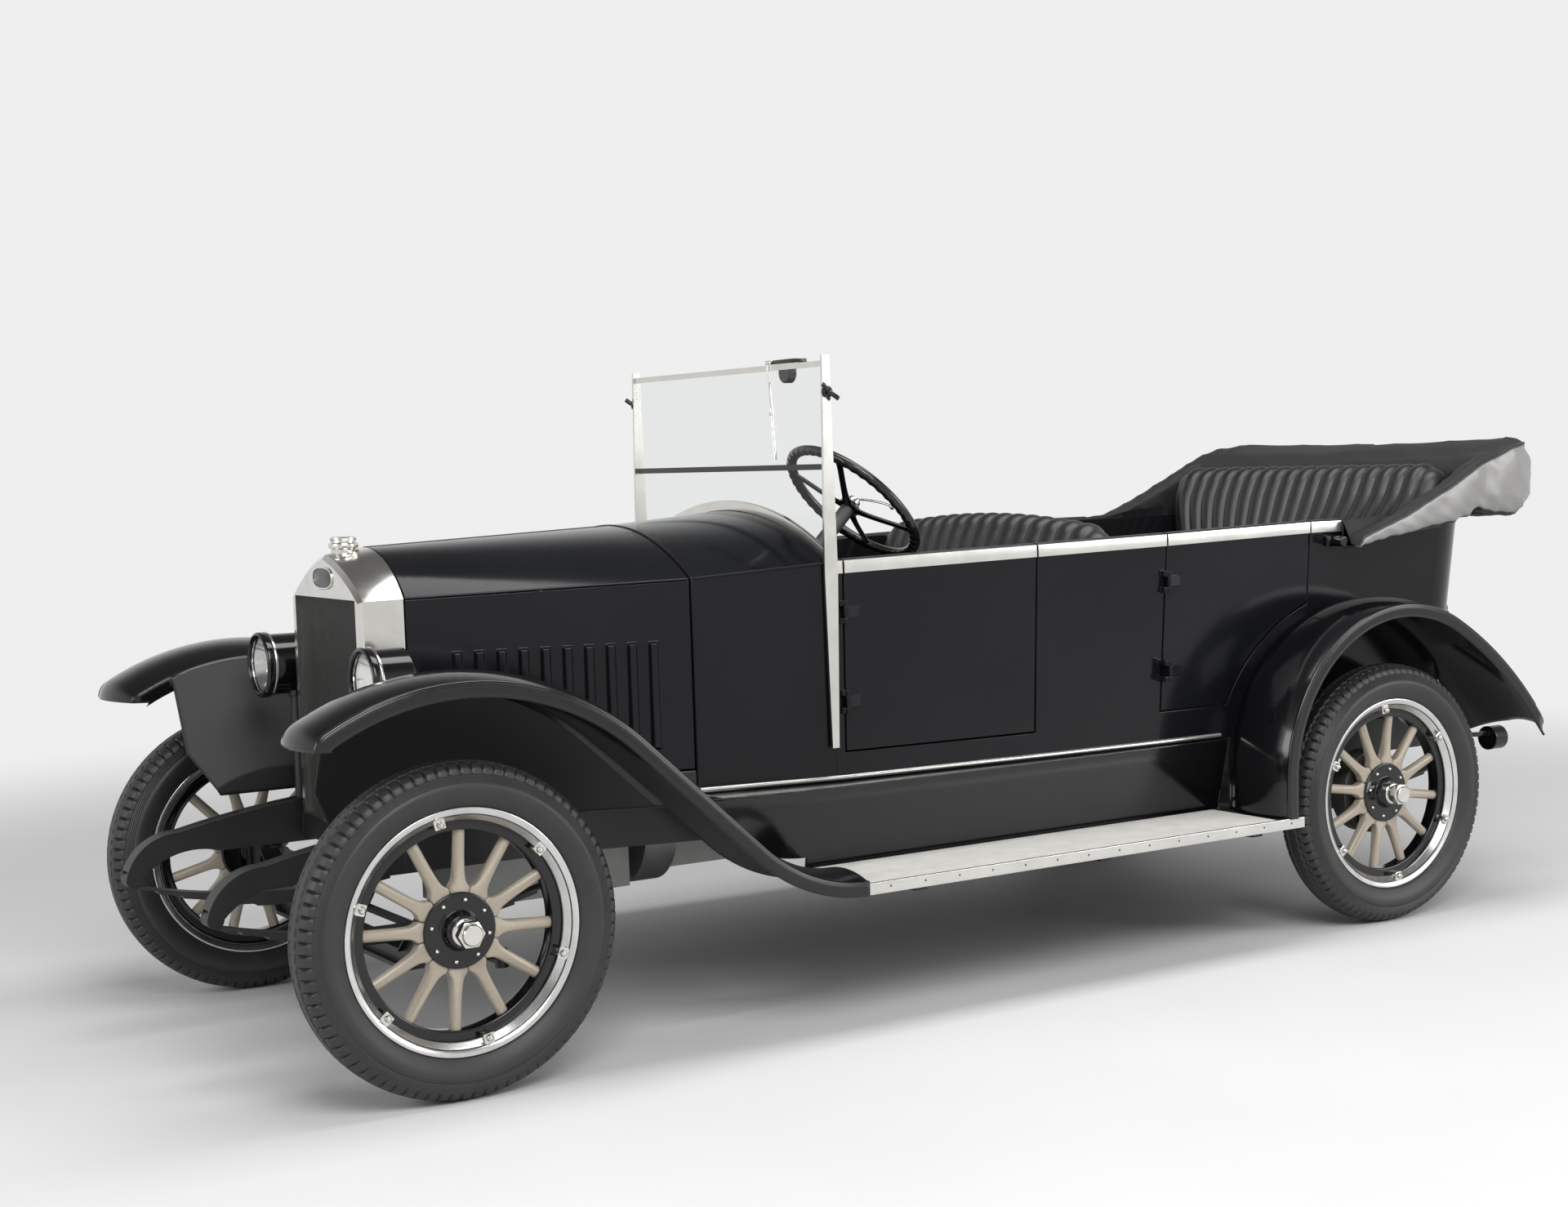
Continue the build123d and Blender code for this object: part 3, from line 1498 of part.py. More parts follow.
# Wiper: motor behind the top bar, a bridge over it, then arm and blade in front of the pane
with BuildPart() as wiper:
    bar_half = 7 + fit
    motor_z = top_bar_z + bar_height / 2 - wiper_radius + 6
    with BuildSketch(Plane.YZ.offset(screen_x - bar_half - wiper_depth)):
        with Locations((wiper_y, motor_z)):
            Circle(wiper_radius)
    extrude(amount=wiper_depth)
    bridge_low = top_bar_z + bar_height / 2 + fit
    with BuildSketch(Plane.YZ.offset(screen_x - bar_half - wiper_depth)):
        with Locations(((wiper_arm_y + wiper_y + 85) / 2, bridge_low + 5)):
            Rectangle(wiper_y + 95 - wiper_arm_y, 10)
    extrude(amount=wiper_depth + 2 * bar_half + 6)
    with BuildSketch(Plane.YZ.offset(screen_x + bar_half)):
        with BuildLine():
            arm_low = bridge_low - 80
            Polyline(
                (wiper_arm_y - 4, bridge_low + 5),
                (wiper_arm_y + 4, bridge_low + 5),
                (wiper_arm_y + 8, arm_low),
                (wiper_arm_y + 2, arm_low),
                close=True,
            )
        make_face()
    extrude(amount=6)
    with BuildSketch(Plane.YZ.offset(screen_x + glass_wall / 2 + 1)):
        with BuildLine():
            Polyline(
                (wiper_arm_y + 1, arm_low + 20),
                (wiper_arm_y + 7, arm_low + 20),
                (wiper_arm_y + 25, mid_bar_z + 20),
                (wiper_arm_y + 19, mid_bar_z + 20),
                close=True,
            )
        make_face()
    extrude(amount=bar_half + 1)
write(wiper, "wiper")

# Seats on their boxes: cushion and back, each with a rounded bolster
with BuildPart() as seat_boxes:
    for rear, front, half in seat_boxes_plan:
        with BuildSketch(Plane.XY.offset(floor_top)):
            with Locations(((rear + front) / 2, 0)):
                Rectangle(front - rear, 2 * half)
        extrude(amount=cushion_bottom - seat_gap - floor_top)
write(seat_boxes, "seat_boxes")


def seat_side(rear, front, foot, head, thick, roll_z, roll):
    """Side view of a seat: the cushion, and the leaning back with its top roll."""
    with BuildSketch(Plane.XZ) as shape:
        with Locations(((rear + front) / 2, (cushion_bottom + cushion_top) / 2)):
            RectangleRounded(front - rear, cushion_top - cushion_bottom, 45)
    with BuildSketch(Plane.XZ) as back:
        with BuildLine():
            Polyline(
                (foot, cushion_top + seat_gap),
                (head, roll_z),
                (head - thick, roll_z),
                (foot - thick, cushion_top + seat_gap),
                close=True,
            )
        make_face()
    with BuildSketch(Plane.XZ) as top:
        with Locations((head - thick / 2, roll_z)):
            Circle(roll)
    return shape.sketch, back.sketch, top.sketch


for name, half, roll_half, place in seats:
    cushion, back, top = seat_side(*place)
    with BuildPart() as seat:
        extrude(cushion, amount=half, both=True)
        extrude(back, amount=half, both=True)
        extrude(top, amount=roll_half, both=True)
    write(seat, f"{name}_seat")

# Folded hood in its bag: a deep roll behind the seat with an arm along each side
with BuildPart() as folded_hood:
    with BuildSketch(Plane.XZ):
        with BuildLine():
            Polyline(*hood_outline, close=True)
        make_face()
    extrude(amount=hood_outer_y, both=True)
    for low, high, rear in (
        (body_bottom, 2 * rail_rear_z, hood_front_x),
        (body_bottom, rail_rear_z + seat_gap, body_rear_x - 5),
    ):
        with BuildSketch(Plane.XY.offset(low)):
            with Locations(((rear + cowl_rear_x) / 2, 0)):
                Rectangle(cowl_rear_x - rear, 2 * hood_inner_y)
        extrude(amount=high - low, mode=Mode.SUBTRACT)
    # The roll's ends are rounded in plan
    back, front = min(x for x, _ in hood_outline), max(x for x, _ in hood_outline)
    with BuildSketch(Plane.XY.offset(body_bottom)):
        with Locations(((back + front) / 2, 0)):
            Rectangle(front - back, 2 * hood_outer_y)
        fillet(vertices().sort_by(Axis.X)[:2], radius=hood_corner)
    extrude(amount=screen_top, mode=Mode.INTERSECT)
write(folded_hood, "folded_hood")

# Hood irons: a pivot on the body side and the flat bar that carries the folded hood
with BuildPart() as hood_irons:
    for way in (-1, 1):
        with BuildSketch(Plane.XZ.offset(-way * (hood_inner_y - 9))):
            with BuildLine():
                Polyline(
                    (iron_x + 22, iron_z - 14),
                    (iron_x + 22, iron_z + 14),
                    (iron_rear_x, iron_z + 50),
                    (iron_rear_x, iron_z + 24),
                    close=True,
                )
            make_face()
        extrude(amount=-way * iron_wall)
        with BuildSketch(Plane.XZ.offset(-way * (hood_inner_y - 20))):
            with Locations((iron_x, iron_z)):
                Circle(iron_pivot_radius)
        extrude(amount=-way * 68)
    add(tub_block(fit), mode=Mode.SUBTRACT)
write(hood_irons, "hood_irons")

# Headlamps: drums with a domed back on the posts, each open at its rim for the lens
rim_x = lamp_x + lamp_lead
back_x = rim_x - lamp_length
dome = (lamp_bulge**2 + lamp_body_radius**2) / (2 * lamp_bulge)


def lamp_drum(inset, middle_y):
    """Half section of the drum's form, above the lamp's axis."""
    radius, sphere = lamp_body_radius - inset, dome - inset
    turn = degrees(asin(radius / sphere))
    with BuildSketch(Plane.XZ.offset(-middle_y)) as half:
        with BuildLine():
            cap = CenterArc((back_x + dome, lamp_z), sphere, 180 - turn, turn)
            Polyline(cap @ 1, (rim_x, lamp_z), (rim_x, lamp_z + radius), cap @ 0)
        make_face()
    return half.sketch


with BuildPart() as headlamps:
    for way in (-1, 1):
        axis = Axis((0, way * lamp_y, lamp_z), (1, 0, 0))
        revolve(lamp_drum(0, way * lamp_y), axis=axis)
        with BuildSketch(Plane.YZ.offset(rim_x - lamp_rim_depth)):
            with Locations((way * lamp_y, lamp_z)):
                Circle(lamp_radius)
        extrude(amount=lamp_rim_depth)
        with BuildSketch(Plane.XY.offset(lamp_seat_z)):
            with Locations((lamp_x - 60, way * lamp_post_y)):
                Circle(lamp_post_radius + 4)
        extrude(amount=lamp_z - lamp_seat_z - lamp_body_radius / 2)
        revolve(lamp_drum(lamp_wall, way * lamp_y), axis=axis, mode=Mode.SUBTRACT)
write(headlamps, "headlamps")

with BuildPart() as headlamp_lenses:
    for way in (-1, 1):
        with BuildSketch(Plane.YZ.offset(rim_x - 14)):
            with Locations((way * lamp_y, lamp_z)):
                Circle(lamp_body_radius - lamp_wall - fit)
        extrude(amount=8)
write(headlamp_lenses, "headlamp_lenses")

# Tail lamp on an arm from the end of the left rail
with BuildPart() as tail_lamp:
    arm_y = rear_rail_y + rail_width / 2
    with BuildSketch(Plane.XY.offset(rail_bottom + 20)):
        with BuildLine():
            Polyline(
                (rail_rear_x + 40, arm_y),
                (rail_rear_x + 40, arm_y + 10),
                (rail_rear_x - 30, arm_y + tail_arm_reach),
                (rail_rear_x - 90, arm_y + tail_arm_reach),
                (rail_rear_x - 90, arm_y + tail_arm_reach - 12),
                (rail_rear_x - 36, arm_y + tail_arm_reach - 12),
                (rail_rear_x, arm_y),
                close=True,
            )
        make_face()
    extrude(amount=tail_arm_wall)
    with BuildSketch(Plane.YZ.offset(rail_rear_x - 90)):
        with Locations((arm_y + tail_arm_reach - 9, rail_bottom + 10)):
            Circle(tail_lamp_radius)
    extrude(amount=-tail_lamp_depth)
write(tail_lamp, "tail_lamp")

# Spare wheel on its carrier behind the body
spare_x = body_rear_x - tyre_width / 2 - 18
for name, master in (("spare_tyre", tyre), ("spare_rim", None)):
    if master is None:
        with BuildPart() as spare_ring:
            with BuildSketch(Plane.XY):
                inner = rim_seat_radius - rim_wall
                with Locations(((inner + rim_seat_radius) / 2, 0)):
                    Rectangle(rim_wall, 2 * rim_half_width)
                for edge in (-1, 1):
                    with Locations(
                        (
                            (inner + rim_flange_radius) / 2,
                            edge * (rim_half_width - rim_wall / 2),
                        )
                    ):
                        Rectangle(rim_flange_radius - inner, rim_wall)
            revolve(axis=Axis.Y)
        master = spare_ring
    with BuildPart() as placed:
        with Locations(Location((spare_x, 0, spare_z), (0, 0, 90))):
            add(master.part)
    write(placed, name)

with BuildPart() as spare_carrier:
    with BuildSketch(Plane.YZ.offset(spare_x - 18)):
        with Locations((0, spare_z)):
            Circle(rim_seat_radius - rim_wall - fit)
            Circle(felloe_inner_radius, mode=Mode.SUBTRACT)
            with PolarLocations(felloe_inner_radius / 2 + 10, 3, start_angle=90):
                Rectangle(felloe_inner_radius, 44)
            Circle(60)
    extrude(amount=36)
    with BuildSketch(Plane.YZ.offset(spare_x)):
        with Locations((0, spare_z)):
            Circle(46)
    extrude(amount=body_rear_x - spare_x + 60)
    add(tub_block(fit), mode=Mode.SUBTRACT)
write(spare_carrier, "spare_carrier")
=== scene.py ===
import math

import bpy
import numpy as np
from mathutils import Matrix


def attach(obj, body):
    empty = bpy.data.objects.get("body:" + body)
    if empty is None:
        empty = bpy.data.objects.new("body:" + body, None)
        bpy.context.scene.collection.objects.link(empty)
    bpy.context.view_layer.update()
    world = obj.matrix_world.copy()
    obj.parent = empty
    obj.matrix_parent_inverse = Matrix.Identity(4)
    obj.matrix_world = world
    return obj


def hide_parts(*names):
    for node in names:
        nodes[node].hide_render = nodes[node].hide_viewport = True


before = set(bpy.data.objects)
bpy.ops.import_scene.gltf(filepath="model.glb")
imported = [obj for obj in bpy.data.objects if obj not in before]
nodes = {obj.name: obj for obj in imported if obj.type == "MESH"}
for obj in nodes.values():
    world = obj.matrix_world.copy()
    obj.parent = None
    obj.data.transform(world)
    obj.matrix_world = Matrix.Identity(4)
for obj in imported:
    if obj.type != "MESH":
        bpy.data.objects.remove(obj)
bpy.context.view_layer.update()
scene = bpy.context.scene
print("frame loaded")


def joined(*coordinates):
    # points from their coordinates, each an array or a single number
    return np.stack(np.broadcast_arrays(*coordinates), axis=-1)


def chained(*runs):
    # runs of points, one after another
    return np.concatenate(runs)


def fullTurn(count):
    # even angles round a whole circle
    return np.linspace(0, 2 * np.pi, count, endpoint=False)


def unit(vectors):
    # vectors divided by their lengths
    return vectors / np.linalg.norm(vectors, axis=-1, keepdims=True)


def signedPower(value, power):
    # turns the cosine and sine of a circle into those of a superellipse
    return np.sign(value) * np.abs(value) ** power


def grid(points, closed=True):
    # quads between neighbouring rows and columns; columns wrap round, rows only if closed
    rows, cols = points.shape[:2]
    u = np.arange(rows if closed else rows - 1)[:, None]
    v = np.arange(cols)
    nextU, nextV = (u + 1) % rows, (v + 1) % cols
    quads = joined(u * cols + v, nextU * cols + v, nextU * cols + nextV, u * cols + nextV)
    return points.reshape(-1, 3), [quads.reshape(-1, 4)]


def cappedTube(points):
    # a closed tube: rings wrap round, and each end is closed by a fan to its middle
    verts, faces = grid(points, closed=False)
    rows, cols = points.shape[:2]
    ends = np.stack([points[0].mean(axis=0), points[-1].mean(axis=0)])
    ring = np.arange(cols)
    after, last = (ring + 1) % cols, (rows - 1) * cols
    startFan = joined(rows * cols, ring, after)
    endFan = joined(rows * cols + 1, last + after, last + ring)
    return chained(verts, ends), faces + [startFan, endFan]


def signedVolume(verts, faces):
    # a sixth of the sum of triple products of the triangles' corners; negative inside out
    total = 0.0
    for block in faces:
        a = verts[block[:, 0]]
        for k in range(1, block.shape[1] - 1):
            b, c = verts[block[:, k]], verts[block[:, k + 1]]
            total += np.einsum("ij,ij->i", a, np.cross(b, c)).sum()
    return total / 6


def makePiece(name, parts, finish, body="car", replaces=(), sharp=38, tone=None):
    # one mesh from several closed surfaces, each turned to face outward; tone is an attribute
    # that a material may read
    allVerts, loops, sizes, offset = [], [], [], 0
    for verts, faces in parts:
        flip = signedVolume(verts - verts.mean(axis=0), faces) < 0
        for block in faces:
            block = block[:, ::-1] if flip else block
            loops.append((block + offset).ravel())
            sizes.append(np.full(len(block), block.shape[1]))
        allVerts.append(verts)
        offset += len(verts)
    verts, loops, sizes = np.concatenate(allVerts), np.concatenate(loops), np.concatenate(sizes)
    mesh = bpy.data.meshes.new(name)
    mesh.vertices.add(len(verts))
    mesh.vertices.foreach_set("co", verts.astype(np.float32).ravel())
    mesh.loops.add(len(loops))
    mesh.loops.foreach_set("vertex_index", loops.astype(np.int32))
    mesh.polygons.add(len(sizes))
    starts = chained([0], np.cumsum(sizes)[:-1])
    mesh.polygons.foreach_set("loop_start", starts.astype(np.int32))
    mesh.update(calc_edges=True)
    mesh.validate()
    mesh.shade_smooth()
    mesh.set_sharp_from_angle(angle=math.radians(sharp))
    mesh.materials.append(materials[finish])
    if tone is not None:
        mesh.attributes.new("tone", "FLOAT", "POINT").data.foreach_set("value", tone.astype(np.float32))
    piece = bpy.data.objects.new(name, mesh)
    scene.collection.objects.link(piece)
    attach(piece, body)
    if replaces:
        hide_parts(*replaces)
    return piece


def revolved(profile, count):
    # a closed profile of (radius, y) turned about the y axis
    r, y = profile.T
    turn = fullTurn(count)[:, None]
    return grid(joined(np.cos(turn) * r, y, np.sin(turn) * r))


def lathed(profile, count=48):
    # a solid of revolution about y from its foot to its tip, or a prism when count is small
    r, y = np.asarray(profile, float).T[..., None]
    return cappedTube(joined(r * np.cos(fullTurn(count)), y, r * np.sin(fullTurn(count))))


def rounded(corners, radius, steps=4):
    # a closed outline with every corner replaced by a short curve
    corners = np.asarray(corners, float)
    toBefore, toAfter = (np.roll(corners, way, axis=0) - corners for way in (1, -1))
    lenBefore, lenAfter = (np.linalg.norm(to, axis=1, keepdims=True) for to in (toBefore, toAfter))
    cut = np.minimum(radius, 0.45 * np.minimum(lenBefore, lenAfter))
    start, end = corners + toBefore / lenBefore * cut, corners + toAfter / lenAfter * cut
    t = np.linspace(0, 1, steps)[None, :, None]
    curve = (1 - t) ** 2 * start[:, None] + 2 * t * (1 - t) * corners[:, None] + t**2 * end[:, None]
    return curve.reshape(-1, corners.shape[1])


def boxOutline(left, low, right, high, radius):
    # a rectangle with rounded corners
    return rounded([(left, low), (right, low), (right, high), (left, high)], radius)


def sweptAlong(path, outline, side=(0, 1, 0)):
    # an outline of (sideways, up) carried along a path, upright to it; side is across the path
    path, outline = np.asarray(path, float), np.asarray(outline, float)
    along = unit(np.gradient(path, axis=0))
    across = np.broadcast_to(np.asarray(side, float), path.shape)
    across = unit(across - (across * along).sum(axis=1, keepdims=True) * along)
    up = np.cross(along, across)
    return cappedTube(path[:, None] + across[:, None] * outline[:, :1] + up[:, None] * outline[:, 1:])


def circleOutline(radius, count):
    # radius is a number, or a pair for an oval
    return joined(np.cos(fullTurn(count)), np.sin(fullTurn(count))) * radius


def tubeAlong(path, radius, count=10, side=(0, 1, 0)):
    # a circle carried along a path
    return sweptAlong(path, circleOutline(radius, count), side)


def slab(low, high, bevel=0.002):
    # a box between two corners with its edges rounded
    low, high, rise = np.array(low, float), np.array(high, float), bevel * 0.6
    outline = boxOutline(*low[:2], *high[:2], bevel)
    inset = outline - np.sign(outline - (low[:2] + high[:2]) / 2) * rise
    levels = [(inset, low[2]), (outline, low[2] + rise), (outline, high[2] - rise), (inset, high[2])]
    return cappedTube(np.stack([np.insert(ring, 2, z, axis=1) for ring, z in levels]))


def moved(part, matrix=None, shift=(0, 0, 0)):
    # a part turned by a matrix, then shifted
    verts, faces = part
    if matrix is not None:
        verts = verts @ np.asarray(matrix, float).T
    return verts + np.asarray(shift, float), faces


def upright(part):
    # from the y axis to the z axis
    return part[0][:, [0, 2, 1]], part[1]


def bothSides(name, parts, finish, body="car", replaces=()):
    # parts made for the car's left, and their mirror image for its right
    for side, way in (("left", 1), ("right", -1)):
        turned = [moved(part, np.diag([1, way, 1])) for part in parts]
        makePiece(f"{name}_{side}", turned, finish, body.replace("left", side),
                  [node.replace("left", side) for node in replaces])


def arcPoints(centre, radius, start, end, count):
    # points on a circle between two angles in degrees
    turn = np.radians(np.linspace(start, end, count))
    return joined(centre[0] + radius * np.cos(turn), centre[1] + radius * np.sin(turn))


def resampled(points, count, closed=False):
    # points at even steps of the running length of a line
    points = np.asarray(points, float)
    if closed:
        points = chained(points, points[:1])
    length = chained([0], np.cumsum(np.linalg.norm(np.diff(points, axis=0), axis=1)))
    at = np.linspace(0, length[-1], count, endpoint=not closed)
    return joined(*(np.interp(at, length, axis) for axis in points.T))


# Materials: Principled shaders whose colour and roughness vary by noise on Object coordinates
looks = {
    "bodyPaint": dict(color=(0.006, 0.0064, 0.0078), rough=0.14, vary=0.35, scale=3.0, roundEdge=0.004,
                      shine=0.24),
    "fenderEnamel": dict(color=(0.004, 0.004, 0.005), rough=0.12, scale=3.0, roundEdge=0.006),
    "chassisPaint": dict(color=(0.008, 0.008, 0.008), rough=0.42, vary=0.3, scale=8.0, roundEdge=0.002),
    "nickel": dict(color=(0.67, 0.655, 0.62), rough=0.16, metal=1.0, vary=0.12, scale=14.0),
    "rimSteel": dict(color=(0.62, 0.62, 0.61), rough=0.24, metal=1.0, scale=16.0),
    "iron": dict(color=(0.09, 0.09, 0.088), rough=0.55, metal=0.6, vary=0.3, scale=22.0, bump=0.1),
    "aluminium": dict(color=(0.22, 0.22, 0.215), rough=0.45, metal=0.9, scale=18.0),
    "springSteel": dict(color=(0.035, 0.034, 0.033), rough=0.5, metal=0.4, vary=0.3, scale=20.0),
    "tyreRubber": dict(color=(0.019, 0.019, 0.019), rough=0.5, vary=0.35, scale=16.0, bump=0.06),
    "boardTop": dict(color=(0.56, 0.55, 0.52), rough=0.42, vary=0.14, scale=26.0, bump=0.03),
    "leather": dict(color=(0.01, 0.009, 0.0085), rough=0.42, vary=0.35, scale=30.0, bump=0.05),
    "hoodCloth": dict(color=(0.012, 0.012, 0.013), rough=0.7, vary=0.25, scale=60.0, bump=0.2),
    "ebonite": dict(color=(0.008, 0.007, 0.006), rough=0.22, vary=0.3, scale=10.0),
    "seatWood": dict(color=(0.05, 0.035, 0.022), rough=0.5, vary=0.3, scale=10.0),
    "radiatorCore": dict(color=(0.012, 0.011, 0.01), rough=0.5, metal=0.5, vary=0.3, scale=30.0),
    "badgeEnamel": dict(color=(0.02, 0.022, 0.028), rough=0.15, vary=0.1, scale=30.0),
    # bright trim metal, also laid on the sill bead as a painted highlight
    "brightTrimAndHighlight": dict(color=(0.62, 0.61, 0.58), rough=0.26, metal=0.85, vary=0.12, scale=12.0),
    "reflector": dict(color=(0.8, 0.8, 0.78), rough=0.12, metal=1.0, vary=0.05, scale=12.0),
}
looks["fenderSheet"] = dict(looks["fenderEnamel"], roundEdge=0.014)
looks["wireEnamel"] = dict(looks["fenderEnamel"], roundEdge=0.0)
looks["screenMetal"] = looks["nickel"]
# painted glare: the pale colour and lower roughness that the hood's dark side cloth takes as a painted
# highlight
bagGlareLook = dict(color=(0.22, 0.217, 0.21), rough=0.26)


def feed(tree, node, inputs):
    # each input takes another node's output or a plain value
    for key, value in inputs.items():
        if isinstance(value, bpy.types.NodeSocket):
            tree.links.new(value, node.inputs[key])
        else:
            node.inputs[key].default_value = value


def addNode(tree, kind, inputs=None, **settings):
    # a shader node with its settings and inputs
    node = tree.nodes.new("ShaderNode" + kind)
    for key, value in settings.items():
        setattr(node, key, value)
    feed(tree, node, inputs or {})
    return node


def mathNode(tree, operation, first, second=0.0):
    # the result of one operation on two numbers or sockets
    return addNode(tree, "Math", {0: first, 1: second}, operation=operation).outputs[0]


def rampNode(tree, value, stops):
    # a colour for each value, between two stops of (value, colour)
    ramp = addNode(tree, "ValToRGB", {"Fac": value})
    for element, (position, color) in zip(ramp.color_ramp.elements, stops):
        element.position, element.color = position, (*color, 1)
    return ramp.outputs["Color"]


def bumpNode(tree, height, strength, distance=0.002):
    # a normal tilted by the slope of a height
    bump = addNode(tree, "Bump", {"Height": height, "Strength": strength, "Distance": distance})
    return bump.outputs["Normal"]


def startMaterial(name):
    # a new material with its node tree and shader
    material = bpy.data.materials.new(name)
    material.use_nodes = True
    return material, material.node_tree, material.node_tree.nodes["Principled BSDF"]


def newMaterial(name, color, rough, metal=0.0, vary=0.2, scale=10.0, bump=0.0, roundEdge=0.0, shine=0.5):
    # a cloud of noise spreads colour and roughness about their values; roundEdge is the radius that
    # softens sharp edges, and bump the strength of a fine grain
    material, tree, shader = startMaterial(name)
    place = addNode(tree, "TexCoord").outputs["Object"]
    cloud = addNode(tree, "TexNoise", {"Scale": scale, "Detail": 5, "Vector": place}).outputs["Fac"]
    stops = [(0.3, [c * (1 - vary * 0.5) for c in color]),
             (0.7, [min(1.0, c * (1 + vary * 0.5)) for c in color])]
    spread = addNode(tree, "MapRange", {"To Min": rough * 0.8, "To Max": rough * 1.2, "Value": cloud})
    feed(tree, shader, {"Base Color": rampNode(tree, cloud, stops), "Roughness": spread.outputs["Result"],
                        "Metallic": metal, "Specular IOR Level": shine})
    if roundEdge:
        soft = addNode(tree, "Bevel", {"Radius": roundEdge}, samples=16)
        feed(tree, shader, {"Normal": soft.outputs["Normal"]})
    if bump:
        fine = addNode(tree, "TexNoise", {"Scale": scale * 14, "Vector": place}).outputs["Fac"]
        feed(tree, shader, {"Normal": bumpNode(tree, fine, bump)})
    return material


def glassMaterial(name, tint, rough, ripples):
    # patterned glass that bends the light
    material, tree, shader = startMaterial(name)
    place = addNode(tree, "TexCoord").outputs["Object"]
    wave = addNode(tree, "TexNoise", {"Scale": ripples, "Vector": place}).outputs["Fac"]
    feed(tree, shader, {"Base Color": (*tint, 1), "Roughness": rough, "Transmission Weight": 1.0,
                        "IOR": 1.45, "Normal": bumpNode(tree, wave, 0.3, 0.001)})
    return material


def paneMaterial(name, tint, rough):
    # thin glass: clear, with a mirror part on its front faces that grows at low angles
    material, tree, shader = startMaterial(name)
    tree.nodes.remove(shader)
    clear = addNode(tree, "BsdfTransparent", {"Color": (*tint, 1)})
    gloss = addNode(tree, "BsdfGlossy", {"Roughness": rough})
    steep = mathNode(tree, "POWER", addNode(tree, "LayerWeight").outputs["Facing"], 4.0)
    share = mathNode(tree, "ADD", mathNode(tree, "MULTIPLY", steep, 0.45), 0.035)
    front = mathNode(tree, "SUBTRACT", 1.0, addNode(tree, "NewGeometry").outputs["Backfacing"])
    mix = addNode(tree, "MixShader", {"Fac": mathNode(tree, "MULTIPLY", share, front),
                                      1: clear.outputs["BSDF"], 2: gloss.outputs["BSDF"]})
    feed(tree, tree.nodes["Material Output"], {"Surface": mix.outputs["Shader"]})
    return material


def woodMaterial(name, dark, light, rough):
    # varnished ash: streaks along each spoke from its tone attribute, broken by fine noise
    material, tree, shader = startMaterial(name)
    place = addNode(tree, "TexCoord").outputs["Object"]
    fine = addNode(tree, "TexNoise", {"Scale": 140, "Vector": place}).outputs["Fac"]
    tone = addNode(tree, "Attribute", attribute_name="tone").outputs["Fac"]
    streak = mathNode(tree, "ADD", mathNode(tree, "MULTIPLY", tone, 0.7),
                      mathNode(tree, "MULTIPLY", fine, 0.3))
    feed(tree, shader, {"Base Color": rampNode(tree, streak, [(0.2, dark), (0.8, light)]),
                        "Roughness": rough})
    return material


def treeParts(material):
    # node tree, shader and the socket with the place of a material from newMaterial
    tree = material.node_tree
    return tree, tree.nodes["Principled BSDF"], tree.nodes["Texture Coordinate"].outputs["Object"]


def blendColor(tree, share, color):
    # another colour laid over the shader's own by share
    base = tree.nodes["Principled BSDF"].inputs["Base Color"]
    blend = addNode(tree, "MixRGB", {"Fac": share, "Color1": base.links[0].from_socket,
                                     "Color2": (*color, 1)})
    tree.links.new(blend.outputs["Color"], base)


def blackWithin(material, low, high, half):
    # the metal turns black between two heights, nearer the car's middle than half
    tree, shader, place = treeParts(material)
    axes = addNode(tree, "SeparateXYZ", {"Vector": place}).outputs
    dark = 1.0
    for test in (("GREATER_THAN", axes["Z"], low), ("LESS_THAN", axes["Z"], high),
                 ("LESS_THAN", mathNode(tree, "ABSOLUTE", axes["Y"]), half)):
        dark = mathNode(tree, "MULTIPLY", dark, mathNode(tree, *test))
    feed(tree, shader, {"Metallic": mathNode(tree, "SUBTRACT", 1.0, dark)})
    blendColor(tree, dark, (0.006, 0.006, 0.006))


def toneTo(material, rough, color, otherRough):
    # colour and roughness move to other ones as the piece's tone attribute goes from 0 to 1
    tree, shader, _ = treeParts(material)
    tone = addNode(tree, "Attribute", attribute_name="tone").outputs["Fac"]
    blendColor(tree, tone, color)
    change = mathNode(tree, "MULTIPLY", tone, otherRough - rough)
    feed(tree, shader, {"Roughness": mathNode(tree, "ADD", change, rough)})


def dullWithin(material, half, rough):
    # the sheet nearer the car's middle than half, which road dirt reaches, loses its gloss
    tree, shader, place = treeParts(material)
    side = addNode(tree, "SeparateXYZ", {"Vector": place}).outputs["Y"]
    inside = mathNode(tree, "LESS_THAN", mathNode(tree, "ABSOLUTE", side), half)
    glossy = shader.inputs["Roughness"].links[0].from_socket
    dull = mathNode(tree, "MAXIMUM", glossy, mathNode(tree, "MULTIPLY", inside, rough))
    feed(tree, shader, {"Roughness": dull})


def meshWithin(material, pitch, dark, light):
    # radiator core: a fine mesh of tubes and fins, dark with faint metal edges
    tree, shader, place = treeParts(material)
    rows = [addNode(tree, "TexWave", {"Scale": pitch, "Vector": place}, bands_direction=way).outputs["Fac"]
            for way in ("Y", "Z")]
    mesh = mathNode(tree, "MAXIMUM", *rows)
    blend = addNode(tree, "MixRGB", {"Fac": mathNode(tree, "POWER", mesh, 3.0), "Color1": (*dark, 1),
                                     "Color2": (*light, 1)})
    feed(tree, shader, {"Normal": bumpNode(tree, mesh, 0.8), "Base Color": blend.outputs["Color"]})


